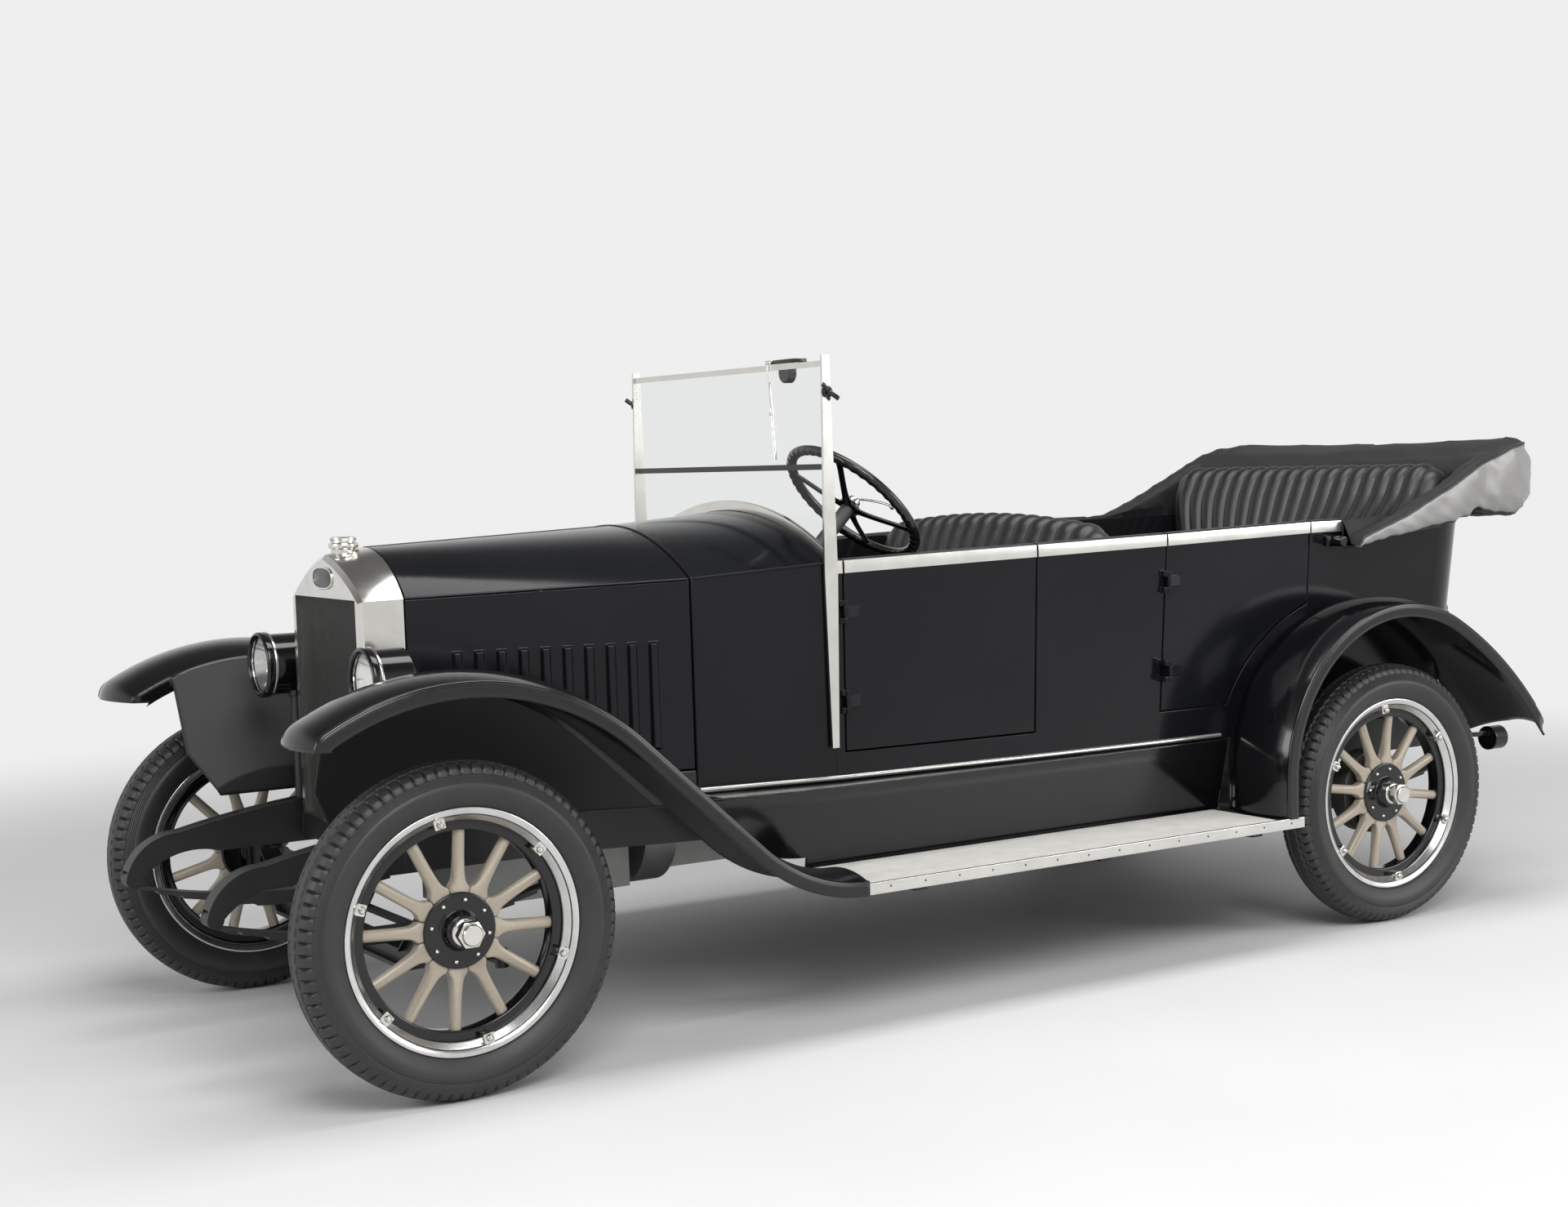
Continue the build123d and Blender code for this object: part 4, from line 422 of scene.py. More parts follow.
materials = {name: newMaterial(name, **look) for name, look in looks.items()}
materials["pane"] = paneMaterial("pane", (0.96, 0.97, 0.965), 0.02)
materials["lampGlass"] = glassMaterial("lampGlass", (0.95, 0.96, 0.95), 0.05, 90.0)
materials["spokeWood"] = woodMaterial("spokeWood", (0.26, 0.222, 0.172), (0.41, 0.362, 0.292), 0.33)
blackWithin(materials["screenMetal"], 1.379, 1.397, 0.5012)
# the hood cloth turns pale and glossier where tone is 1, a painted glare on its side
toneTo(materials["hoodCloth"], looks["hoodCloth"]["rough"], bagGlareLook["color"], bagGlareLook["rough"])
dullWithin(materials["fenderSheet"], 0.561, 0.62)
meshWithin(materials["radiatorCore"], 118.0, (0.004, 0.004, 0.004), (0.035, 0.033, 0.03))

# Finish of the CAD pieces, by the start of their names
finishOf = {
    "bodyPaint": "body_tub cowl door bonnet_top bonnet_side",
    "fenderSheet": "front_fender rear_fender",
    "fenderEnamel": "splash_aprons bonnet_ledges headlamps hood_irons tail_lamp wiper",
    "chassisPaint": "chassis_frame front_axle knuckle tie_rod rear_axle propeller_shaft spare_carrier"
                    " bonnet_hinge",
    "springSteel": "leaf_springs",
    "aluminium": "engine",
    "iron": "exhaust steering_column",
    "nickel": "radiator_cap radiator_shell",
    "radiatorCore": "radiator_core",
    "screenMetal": "windscreen_frame",
    "pane": "windscreen_glass",
    "lampGlass": "headlamp_lenses",
    "boardTop": "running_boards",
    "seatWood": "seat_boxes",
    "ebonite": "steering_wheel",
    "leather": "front_seat rear_seat",
    "hoodCloth": "folded_hood",
    "tyreRubber": "tyre spare_tyre",
    "spokeWood": "wood_wheel",
    "rimSteel": "wheel_metal spare_rim",
}
for finish, starts in finishOf.items():
    for name, node in nodes.items():
        if name.startswith(tuple(starts.split())):
            node.data.materials.clear()
            node.data.materials.append(materials[finish])
print("materials made")

# Stand of each wheel: its axle, its side of the car, the turn of its spokes and of its clamps
frontAxle, rearAxle, halfTrack, wheelHeight = 1.655, -1.295, 0.702, 0.382
wheels = {"front_left": (frontAxle, 1, 26.3, 41.0), "front_right": (frontAxle, -1, 14.0, 35.0),
          "rear_left": (rearAxle, 1, 21.6, 36.0), "rear_right": (rearAxle, -1, 5.0, 20.0)}
spareCentre = (-1.9325, 0.0, 0.76)
spareTurn = [[0, -1, 0], [1, 0, 0], [0, 0, 1]]


def onWheel(parts, name):
    # from wheel coordinates, +y outboard, to the place of one wheel
    axle, way = wheels[name][:2]
    return [moved(part, np.diag([1, way, 1]), (axle, way * halfTrack, wheelHeight)) for part in parts]


tyreLook = dict(radius=0.3818, shoulder=0.366, halfTread=0.05, inner=0.2628, bead=0.0405, flank=0.325,
                widest=0.0642, blocks=84, perBlock=6, notch=0.0075, notchShare=0.15, groove=0.005,
                grooveY=0.017, grooveHalf=0.0026, zigzag=0.004)


def tyrePart(radius, shoulder, halfTread, inner, bead, flank, widest, blocks, perBlock, notch, notchShare,
             groove, grooveY, grooveHalf, zigzag):
    # profile from bead over the tread to bead; the tread sinks by notches at the shoulders and
    # by zigzag grooves, both driven by the angle counted in blocks
    low, high = np.linspace(0.12, 1, 9), np.linspace(0.24, 1, 15)
    foot, footY, crownY = 0.2835, bead + 0.006, halfTread + 0.002
    half = chained(
        [(inner, bead), (0.2815, bead + 0.001), (foot, footY)],
        joined(foot + (flank - foot) * low, footY + (widest - footY) * np.sin(low * np.pi / 2)),
        [(flank + 0.006, widest + 0.0002), (flank + 0.008, widest - 0.0012)],
        joined(flank + (shoulder - flank) * high,
               widest - 0.001 - (widest - crownY) * (1 - np.cos(high * np.pi / 2))))
    # fine rings on the wall, at every other point
    half[1::2, 1] -= 0.0014 * (np.abs(half[1::2, 0] - 0.346) < 0.01)
    across = np.linspace(1, -1, 25)
    crown = joined(radius - (radius - shoulder - 0.002) * np.abs(across) ** 3.2, across * halfTread)
    r, y = chained(half, crown, half[::-1] * [1, -1]).T
    turn = fullTurn(blocks * perBlock)[:, None]
    phase = np.arange(blocks * perBlock)[:, None] % perBlock / perBlock
    onShoulder = (r > shoulder - 0.008) & (np.abs(y) > 0.03)
    r = r - notch * (((phase + np.where(y > 0, 0.0, 0.4)) % 1 < notchShare) & onShoulder)
    wave = zigzag * np.abs(phase * 2 - 1)
    for middle in (-grooveY, grooveY):
        r = r - groove * (np.abs(y - middle - wave) < grooveHalf) * (r > 0.374)
    return grid(joined(np.cos(turn) * r, y, np.sin(turn) * r))


tyre = tyrePart(**tyreLook)
for name in wheels:
    makePiece(f"tread_{name}", onWheel([tyre], name), "tyreRubber", f"{name}_wheel",
              replaces=[f"tyre_{name}"])
makePiece("tread_spare", [moved(tyre, spareTurn, spareCentre)], "tyreRubber", replaces=["spare_tyre"])
print("tyres made")

spokeLook = dict(count=12, start=0.055, end=0.232, halfWidth=0.0136, halfDepth=0.0132, flare=0.016,
                 flareAt=0.094, flareLength=0.0085, plane=-0.005, streaks=7)


def spokeParts(phase, count, start, end, halfWidth, halfDepth, flare, flareAt, flareLength, plane, streaks):
    # each spoke is a tube whose width follows the wedge between neighbours at the hub and runs
    # down to a round bar; the section is a superellipse that grows rounder outward
    r = (start + (end - start) * np.linspace(0, 1, 34) ** 0.9)[:, None]
    wedge = r * math.tan(math.pi / count) - 0.0004
    bar = halfWidth + flare * np.exp(-np.maximum(r - flareAt, 0) / flareLength)
    depth = halfDepth + 0.0012 * np.exp(-((r - 0.1) / 0.04) ** 2)
    power = 2 / (2 + 6 * np.exp(-np.maximum(r - 0.095, 0) / 0.025))
    ring = fullTurn(24)
    a = signedPower(np.cos(ring), power) * np.minimum(wedge, bar)
    b = signedPower(np.sin(ring), power) * depth + plane
    parts, tones = [], []
    for k in range(count):
        turn = math.radians(phase) + 2 * math.pi * k / count
        c, s = math.cos(turn), math.sin(turn)
        parts.append(cappedTube(joined(s * a - c * r, b, s * r + c * a)))
        grain = np.sin(ring * streaks + 5 * k) * 0.5 + np.sin(ring * 3 - 2 * k) * 0.5
        tone = 0.5 + 0.5 * grain * np.cos(r * 14 + k) ** 2
        tones += [tone.ravel(), [0.5, 0.5]]
    return parts, np.concatenate(tones)


rimLook = dict(lip=0.2808, base=0.2625, well=0.2575, halfWidth=0.0458)


def rimProfile(lip, base, well, halfWidth):
    # lip, seat, well and inner side ring of the demountable rim, as one closed outline
    w = halfWidth
    return rounded([
        (lip, w - 0.001), (lip - 0.003, w - 0.0075), (0.2665, w - 0.0085), (base, w - 0.014),
        (base, -w + 0.014), (0.2665, -w + 0.0085), (lip - 0.003, -w + 0.0075), (lip, -w + 0.001),
        (0.277, -w), (0.264, -w + 0.006), (well, -w + 0.012), (well, w - 0.03), (0.25, w - 0.03),
        (0.249, w - 0.024), (0.2545, w - 0.0175), (0.264, w - 0.006), (0.27, w - 0.0022),
        (0.277, w)], 0.003)


def boxPart(middle, half, spin):
    # a bevelled box whose outer face is a little smaller than the inner one
    outline = boxOutline(-half[0], -half[2], half[0], half[2], 0.002)
    level, share = np.array([(-1, 1.0), (0.6, 1.0), (1, 0.82)]).T[..., None]
    box = cappedTube(joined(outline[:, 0] * share, level * half[1], outline[:, 1] * share))
    return moved(box, spin, middle)


clampLook = dict(count=6, radius=0.2535, half=0.013, wall=0.0022, face=0.0385, nut=0.0075, nutOut=0.009)


def clampParts(phase, count, radius, half, wall, face, nut, nutOut):
    # a square plate hooked over the rim, its lug on the felloe, and a round nut with its stud
    roundNut = lathed([(nut, 0), (nut + 0.0012, 0.0015), (nut, nutOut - 0.002), (nut - 0.002, nutOut)], 20)
    stud = lathed([(0.0034, 0), (0.0034, 0.013), (0.0022, 0.014)], 12)
    parts = []
    for turn in fullTurn(count) + math.radians(phase):
        c, s = math.cos(turn), math.sin(turn)
        out, spin = np.array([-c, 0, s]), [[c, 0, s], [0, 1, 0], [-s, 0, c]]
        spot = out * (radius - 0.003) + [0, face + 0.002, 0]
        parts += [boxPart(out * radius + [0, face, 0], (half, wall, half), spin),
                  boxPart(out * 0.2455 + [0, 0.0262, 0], (0.006, 0.0104, 0.0075), spin),
                  moved(roundNut, None, spot), moved(stud, None, spot)]
    return parts


hubLook = dict(disc=0.0868, boltCircle=0.07, boltRadius=0.0052, bolts=8, boltTurn=0.2)
rim = revolved(rimProfile(**rimLook), 160)
felloe = revolved(boxOutline(0.2265, -0.026, 0.2566, 0.016, 0.004), 128)
drum = revolved(rounded([(0.112, -0.032), (0.124, -0.032), (0.124, -0.088), (0.117, -0.088),
                         (0.117, -0.04), (0.034, -0.04), (0.034, -0.032)], 0.003), 96)
hubDisc = lathed([(0.086, 0.0094), (hubLook["disc"], 0.0125), (0.0845, 0.015), (0.046, 0.0158),
                  (0.043, 0.024), (0.036, 0.034), (0.0325, 0.0335)], 72)
backDisc = lathed([(0.031, -0.045), (0.031, -0.0255), (0.084, -0.0255), (hubLook["disc"], -0.023),
                   (hubLook["disc"], -0.0195)], 72)
discBolt = lathed([(hubLook["boltRadius"], 0.015), (hubLook["boltRadius"], 0.0185), (0.0036, 0.0212),
                   (0.0015, 0.0222)], 14)
boltTurns = fullTurn(hubLook["bolts"]) + hubLook["boltTurn"]
discBolts = [moved(discBolt, None, hubLook["boltCircle"] * np.array([math.cos(turn), 0, math.sin(turn)]))
             for turn in boltTurns]
hubNut = [lathed([(0.0315, 0.03), (0.0315, 0.044), (0.029, 0.047), (0.026, 0.048), (0.026, 0.06)]),
          lathed([(0.03, 0.0585), (0.0325, 0.0605), (0.0325, 0.078), (0.03, 0.0795)], 6),
          lathed([(0.025, 0.078), (0.0245, 0.0845), (0.022, 0.0875), (0.0, 0.088)])]
for name, (_, _, spokeTurn, clampTurn) in wheels.items():
    body = f"{name}_wheel"
    spokes, streaks = spokeParts(spokeTurn, **spokeLook)
    makePiece(f"spokes_{name}", onWheel(spokes, name), "spokeWood", body,
              replaces=[f"wood_wheel_{name}"], tone=streaks)
    makePiece(f"felloe_{name}", onWheel([felloe, hubDisc, backDisc], name), "fenderEnamel", body,
              replaces=[f"wheel_metal_{name}"])
    makePiece(f"rim_{name}", onWheel([rim], name), "rimSteel", body)
    for piece, parts in (("clamps", clampParts(clampTurn, **clampLook)), ("hub", hubNut),
                         ("hub_bolts", discBolts)):
        makePiece(f"{piece}_{name}", onWheel(parts, name), "nickel", body)
makePiece("rim_spare", [moved(rim, spareTurn, spareCentre)], "rimSteel", replaces=["spare_rim"])
for name in ("rear_left", "rear_right"):
    makePiece(f"drum_{name}", onWheel([drum], name), "iron", f"{name}_wheel")
print("wheels made")

# Body side: how far back each station lies, its half width, and how much it tucks in below
stations = np.array([(-0.875, 0.428, 0.0), (-0.495, 0.501, 0.008), (0.17, 0.56, 0.03),
                     (0.56, 0.59, 0.045), (1.12, 0.6, 0.045), (1.67, 0.6, 0.045)])
beltHeight, sillHeight = 1.19, 0.575


def bodySide(x, z):
    # half width between stations, less the tuck times the share of the way down from the belt
    behind, half, tuck = stations.T
    share = (beltHeight - z) / (beltHeight - sillHeight)
    return np.interp(-x, behind, half) - np.interp(-x, behind, tuck) * share


def alongBody(start, end, height, count=16, out=0.0):
    # a path on the left body side from start forward to end, at a height or a height function
    x = np.linspace(start, end, count)
    z = height(x) if callable(height) else height
    return joined(x, bodySide(x, z) + out, z)


def railHeight(x):
    # the body's upper edge, a straight line that rises towards the back
    return np.interp(-x, [-0.495, 1.11], [1.143, 1.185])


def archPath(x, half, shoulder, ridge, drop=0.0):
    # over the cowl from left to right, with straight legs that run down by drop
    rise = ridge - shoulder
    radius = (half**2 + rise**2) / (2 * rise)
    reach = math.degrees(math.asin(half / radius))
    curve = arcPoints((0, ridge - radius), radius, 90 - reach, 90 + reach, 40)
    if drop:
        leg = joined(half, np.linspace(shoulder - drop, shoulder - 0.006, 14))
        curve = chained(leg, curve, leg[::-1] * [-1, 1])
    return np.insert(curve, 0, x, axis=1)


railLook = dict(proud=0.0035, height=0.03, padHalf=0.0165, padRise=0.009, sillRadius=0.007,
                beadRadius=0.0035, hingeRadius=0.0032, archHeight=0.026, archHalf=0.006)
railRuns = [("car", 0.4705, 0.494), ("front_left_door", -0.1245, 0.4645), ("car", -0.5595, -0.1305),
            ("rear_left_door", -1.1065, -0.5655), ("car", -1.235, -1.1125)]
strip = boxOutline(-0.002, -railLook["height"], railLook["proud"], 0.003, 0.0015)
padTurn = np.linspace(0, np.pi, 12)
pad = joined(railLook["padHalf"] * np.cos(padTurn), railLook["padRise"] * np.sin(padTurn) - 0.001)
for k, (body, start, end) in enumerate(railRuns):
    path = alongBody(start, end, railHeight)
    bothSides(f"capping_{k}", [sweptAlong(path, strip)], "brightTrimAndHighlight", body)
    bothSides(f"rail_pad_{k}", [sweptAlong(path - [0, railLook["padHalf"], 0], pad)], "leather", body)
sill = alongBody(-0.79, 0.868, 0.584, 40, 0.001)
crease = np.linspace((0.53, 0.4952, 1.1413), (0.868, 0.4292, 1.1186), 12)
# the sill bead is a real moulding, drawn in bright trim metal as a painted highlight of the light it catches
bothSides("sill_highlight_bead", [tubeAlong(sill, railLook["sillRadius"])], "brightTrimAndHighlight")
bothSides("cowl_crease", [tubeAlong(crease, railLook["beadRadius"])], "bodyPaint")
seam = archPath(0.8715, 0.4283, 1.118, 1.247, 0.535)
arch = archPath(0.507, 0.4975, 1.1425, 1.2755) + [0, 0, railLook["archHeight"] / 2]
archBar = boxOutline(-railLook["archHalf"], -0.014, railLook["archHalf"], 0.014, 0.002)
makePiece("cowl_seam", [tubeAlong(seam, railLook["beadRadius"], side=(1, 0, 0))], "bodyPaint")
makePiece("screen_arch", [sweptAlong(arch, archBar, (1, 0, 0))], "nickel")
hingeLine = np.linspace((0.886, 0.4286, 1.1185), (1.546, 0.24, 1.1005), 20)
bothSides("shoulder_hinge", [tubeAlong(hingeLine, railLook["hingeRadius"])], "bodyPaint", "left_bonnet_half")
print("body trim made")

# Fenders: a wire rolled into the lower edge of each outer flange, and a rounded shoulder along
# its upper edge, which catches the light. The arcs are (centre, radius) as in the construction
fenderLook = dict(drop=0.0295, bead=0.0038, beadY=0.8208, shoulder=0.006, shoulderY=0.8188)
boardCentre, boardRadius, frontCentre, frontRadius = (0.6251, 0.802), 0.43, (1.662, 0.303), 0.64
rearCentre, rearRadius, tailCentre, tailRadius = (-1.27, 0.47), 0.472, (-0.9148, -0.1655), 1.2
noseRadius, noseFrom, noseTo = 0.042, 60, 2


def frontLine(drop, end):
    # up from the running board and over the wheel to the angle end, drop inside the sheet
    return chained(arcPoints(boardCentre, boardRadius + drop, 270, 312.7, 16),
                   arcPoints(frontCentre, frontRadius - drop, 132.7, end, 60))


def rearLine(drop):
    # up from the board, over the wheel and down the tail, drop inside the sheet
    return chained([(-0.798 - drop, 0.375)],
                   arcPoints(rearCentre, rearRadius - drop, 0, 119.2, 60),
                   arcPoints(tailCentre, tailRadius - drop, 119.2, 140, 20))


drop = fenderLook["drop"]
tailPoint = [(-1.8985 + 0.76 * drop, 0.5292 - 0.64 * drop)]
noseCentre = arcPoints(frontCentre, frontRadius - noseRadius, noseFrom, noseFrom, 1)[0]
nose = arcPoints(noseCentre, noseRadius, noseFrom, noseTo, 12)[1:]
for name, edge, upper in (("front", frontLine(drop, 61), chained(frontLine(0, noseFrom), nose)),
                          ("rear", chained(rearLine(drop), tailPoint), rearLine(0))):
    for part, line, count in (("bead", edge, 10), ("shoulder", upper, 20)):
        path = np.insert(line, 1, fenderLook[f"{part}Y"], axis=1)
        bothSides(f"{name}_fender_{part}", [tubeAlong(path, fenderLook[part], count)], "wireEnamel")

boardLook = dict(rear=-0.853, front=0.6245, inner=0.5315, outer=0.8122, low=0.3405, top=0.3678,
                 coverRear=-0.762, coverFront=0.611, coverInner=0.545, coverOuter=0.811, coverTop=0.3701,
                 edgeY=0.8238, edgeTop=0.3692, nailZ=0.3575, nailPitch=0.105)


def makeBoards(rear, front, inner, outer, low, top, coverRear, coverFront, coverInner, coverOuter, coverTop,
               edgeY, edgeTop, nailZ, nailPitch):
    # running board, its pale cover, the bright edging and the nails that hold it
    board = slab((rear, inner, low), (front, outer, top))
    cover = slab((coverRear, coverInner, top - 0.001), (coverFront, coverOuter, coverTop), 0.004)
    edging = sweptAlong([(rear, edgeY, edgeTop), (front, edgeY, edgeTop)],
                        boxOutline(-0.0125, -0.028, 0.0, 0.0012, 0.0012))
    nail = lathed([(0.003, 0.0), (0.0026, 0.0007), (0.0012, 0.0011)], 10)
    nails = [moved(nail, None, (x, edgeY, nailZ)) for x in np.arange(rear + 0.05, front, nailPitch)]
    bothSides("running_board", [board], "chassisPaint", replaces=["running_boards"])
    bothSides("board_cover", [cover], "boardTop")
    bothSides("board_edging", [edging], "brightTrimAndHighlight")
    bothSides("board_nails", nails, "iron")


makeBoards(**boardLook)
print("fenders and boards made")

# Seats: crowned leather with a seam between every two pleats, which run over the top roll;
# fill is not used
seatLooks = {
    "front_seat": dict(cushion=(-0.3, 0.19, 0.76, 0.9), half=0.468, foot=-0.25, thick=0.12,
                       roll=(-0.4, 1.16), rollRadius=0.06, rollHalf=0.53, pleats=15, depth=0.014,
                       arch=0.04, fill=0.7),
    "rear_seat": dict(cushion=(-1.55, -1.06, 0.76, 0.9), half=0.512, foot=-1.49, thick=0.11,
                      roll=(-1.697, 1.27), rollRadius=0.076, rollHalf=0.588, pleats=18, depth=0.015,
                      arch=0.0, fill=0.75),
}


def pleatedPart(outline, half, pleats, depth, mask, endRound, widen=0.0, arch=0.0):
    # a counter-clockwise outline of (x, z) carried across the car; it narrows to a round end at
    # each side and swells between the seams where mask is 1; widen spreads it sideways, and
    # arch lifts the middle and lowers the ends
    edges = np.linspace(-1, 1, pleats * 9 + 1)
    bend = np.linspace(0, np.pi / 2, 9)[:-1]
    end, narrow = half - endRound + endRound * np.cos(bend), endRound * (1 - np.sin(bend))
    y = chained(-end, edges * (half - endRound), end[::-1])[:, None]
    seam = np.abs(((edges + 1) / 2 * pleats) % 1 * 2 - 1) ** 2.6
    seam[[0, -1]] = 1
    sink = chained(np.ones(8), seam, np.ones(8)) * depth
    along = np.roll(outline, -1, axis=0) - np.roll(outline, 1, axis=0)
    normal = unit(joined(along[:, 1], -along[:, 0]))
    into = chained(narrow, 0 * edges, narrow[::-1])[:, None] + sink[:, None] * mask
    x, z = (outline[:, k] - normal[:, k] * into for k in (0, 1))
    return cappedTube(joined(x, y * (1 + widen), z + (0.45 - (y / half) ** 2) * arch))


def makeSeat(name, cushion, half, foot, thick, roll, rollRadius, rollHalf, pleats, depth, arch, fill):
    # cushion: a rounded block crowned by a sine; backrest: a leaning face swelled by a sine and
    # carried over a round roll, which spreads sideways by a smooth step below the roll
    (back, front, low, high), (rollX, rollZ) = cushion, roll
    crown = np.linspace(0, np.pi, 24)
    block = resampled(chained(
        [(front - 0.004, low + 0.05)], arcPoints((front - 0.042, high - 0.056), 0.042, 0, 70, 10),
        joined(np.linspace(front - 0.05, back + 0.03, 24), high - 0.018 + 0.018 * np.sin(crown)),
        arcPoints((back + 0.03, high - 0.048), 0.03, 100, 180, 6),
        arcPoints((back + 0.02, low + 0.02), 0.02, 180, 270, 5),
        arcPoints((front - 0.024, low + 0.02), 0.02, 270, 360, 5)), 84, closed=True)
    onTop = np.clip((block[:, 1] - low - 0.055) / 0.03, 0, 1)
    lean = math.atan2(foot - rollX - rollRadius, rollZ - high)
    shoulder = (rollX + rollRadius * math.cos(lean), rollZ + rollRadius * math.sin(lean))
    face = np.linspace((foot - 0.006, high + 0.012), shoulder, 12)
    face[:, 0] += np.sin(np.linspace(0.05, 0.9, 12) * np.pi) * 0.01
    over = arcPoints(roll, rollRadius, math.degrees(lean), 180, 26)
    rear = np.linspace((rollX - rollRadius * 0.98, rollZ - 0.014), (foot - thick + 0.004, high + 0.012), 8)
    backrest = resampled(chained(face[:-1], over, rear), 110, closed=True)
    up = (backrest[:, 1] - high) / (rollZ - high)
    middle = foot - thick / 2 + (rollX - foot) * up
    onFace = (np.clip((backrest[:, 0] - middle) / 0.02 + 1.2, 0, 1)
              * np.clip((backrest[:, 1] - high - 0.014) / 0.02, 0, 1))
    lift = np.clip((backrest[:, 1] - rollZ) / (2.6 * rollRadius) + 1, 0, 1)
    widen = (rollHalf / half - 1) * lift**2 * (3 - 2 * lift)
    parts = [pleatedPart(block, half, pleats, depth, onTop, 0.03),
             pleatedPart(backrest, half, pleats, depth, onFace, 0.048, widen, arch * np.clip(up, 0, 1))]
    seat = makePiece(f"{name}_pleated", parts, "leather", replaces=[name], sharp=60)


for name, look in seatLooks.items():
    makeSeat(name, **look)
print("seats made")

# Folded hood: a bag of leathercloth lofted round the back of the body, its side cloth with a painted
# pale glare and its top dark, with a piped seam between them; top and low are its height by x
hoodLook = dict(outer=0.69, inner=0.606, front=-1.23, corner=0.19, rear=-2.105, innerRear=-1.782,
                restOn=1.193, sag=0.012, wrinkle=0.0062, fill=0.5, piping=0.0042, pipingColumn=5)
hoodTop = np.array([(-2.105, 1.345), (-2.06, 1.42), (-1.985, 1.434), (-1.91, 1.419), (-1.76, 1.362),
                    (-1.64, 1.3), (-1.438, 1.21), (-1.247, 1.144), (-1.229, 1.11)])
hoodLow = np.array([(-2.105, 1.262), (-2.062, 1.185), (-1.96, 1.168), (-1.869, 1.17), (-1.759, 1.198),
                    (-1.719, 1.172), (-1.437, 1.137), (-1.229, 1.108)])


def makeHood(outer, inner, front, corner, rear, innerRear, restOn, sag, wrinkle, fill, piping,
             pipingColumn):
    # rings between an outer and an inner line of the plan and between top and low are
    # superellipses, drawn inward by sums of sines of the place
    def planLine(side, turned, backX):
        # from the left arm round the back to the right arm
        half = chained(joined(np.linspace(front, -1.77, 60), side), resampled(turned, 40))
        back = joined(backX, np.linspace(outer - corner, corner - outer, 82)[1:-1])
        return chained(half, back, half[::-1] * [1, -1])

    bend = arcPoints((rear + corner, outer - corner), corner, 90, 180, 24)
    outerLine = planLine(outer, chained([(-1.775, outer)], bend), rear)
    innerLine = planLine(inner, [(-1.772, inner), (innerRear, inner - 0.012),
                                 (innerRear, outer - corner)], innerRear)
    turn = fullTurn(44)
    cc, ss = signedPower(np.cos(turn), 2 / 3.6), signedPower(np.sin(turn), 2 / 3.6)
    mid, half = (outerLine + innerLine) / 2, (outerLine - innerLine) / 2
    x, y = (mid[:, k, None] + half[:, k, None] * cc for k in (0, 1))
    top, low = np.interp(x, *hoodTop.T), np.interp(x, *hoodLow.T)
    overBody = (np.abs(y) < 0.612) & (x > -1.862)
    low = np.where(overBody, np.maximum(low, restOn), low)
    # the top cloth sags between the sides, and every face is drawn into soft folds
    middle = 1 - (y / outer) ** 2
    z = (top + low) / 2 + (top - low) / 2 * ss - sag * middle * np.clip(ss, 0, 1)
    way = np.sign(y)
    folds = (np.sin(38 * x + 21 * z + 1.3 * way) * 0.45
             - np.abs(np.sin(31 * x - 44 * z + 2.1 * way + 1.4 * np.sin(19 * z))) ** 0.7 * 0.9
             - np.abs(np.sin(13 * y + 37 * z + 2.2 * np.sin(9 * x))) ** 0.6 * 0.6)
    around = np.arange(len(mid))[:, None] / len(mid)
    puckers = np.abs(np.sin(62 * x + 30 * around)) * np.clip(-ss, 0, 1) ** 2 * 1.1
    strength = wrinkle * (0.45 + 0.75 * np.clip((-x - 1.45) / 0.5, 0, 1))
    into = (folds - 0.35 - puckers) * strength
    outward = unit(half)[:, None]
    points = joined(x + into * outward[..., 0] * cc, y + into * outward[..., 1] * cc, z + into * ss * 0.8)
    # tone is 1 on the outer side cloth, from 47 degrees below to 63 degrees above its middle: the band of
    # painted glare
    degrees = np.degrees(turn) - 360 * (turn > np.pi)
    tone = np.clip(6 * (1.2 - np.abs(degrees + 8) / 46), 0, 1)
    tone = chained(np.broadcast_to(tone, x.shape).ravel(), [0, 0])
    hood = makePiece("hood_bag", [cappedTube(points)], "hoodCloth", replaces=["folded_hood"], sharp=70,
                     tone=tone)
    # the piping follows one column of the points, a little outside it
    seamRow = points[:, pipingColumn]
    seamRow = seamRow + (seamRow - points.mean(axis=1)) * 0.012
    makePiece("hood_piping", [tubeAlong(seamRow, piping, side=(0, 0, 1))], "leather")


makeHood(**hoodLook)
print("hood made")

# Headlamps: rim, reflector and bulb; the drums and lenses are the construction's
lampLook = dict(centre=(1.718, 0.36, 0.915), bowl=0.0725, bowlDepth=0.062, bulb=0.014, bulbX=-0.045)


def lampPart(profile, count=48):
    # a profile of (radius, x) turned about the left lamp's axis
    verts, faces = revolved(np.asarray(profile, float), count)
    return verts[:, [1, 0, 2]] + lampLook["centre"], faces


rimRing = rounded([(0.0725, -0.004), (0.0725, 0.0), (0.0765, 0.0045), (0.0815, 0.0045), (0.0853, -0.001),
                   (0.0853, -0.0158), (0.0825, -0.0158), (0.0825, -0.006)], 0.002)
t = np.linspace(0.02, 1, 18)
bowl = joined(lampLook["bowl"] * np.sqrt(t), -0.018 - lampLook["bowlDepth"] * (1 - t))
bowl = chained(bowl, (bowl + [0.0012, -0.0012])[::-1])
bulb = arcPoints((0.0002, lampLook["bulbX"]), lampLook["bulb"], -90, 90, 12)[1:-1]
bulbEnds = [(0.0001, lampLook["bulbX"] + way * lampLook["bulb"]) for way in (1, -1)]
bothSides("lamp_rim", [lampPart(rimRing)], "fenderEnamel")
# a thin nickel ring behind the rim, partly real trim and partly a painted highlight of the drum's shoulder
bothSides("lamp_band_and_highlight", [lampPart(boxOutline(0.08, -0.0225, 0.0862, -0.0165, 0.0015))], "nickel")
bothSides("lamp_reflector", [lampPart(bowl)], "reflector")
bothSides("lamp_bulb", [lampPart([*bulb, *bulbEnds], 20)], "reflector")

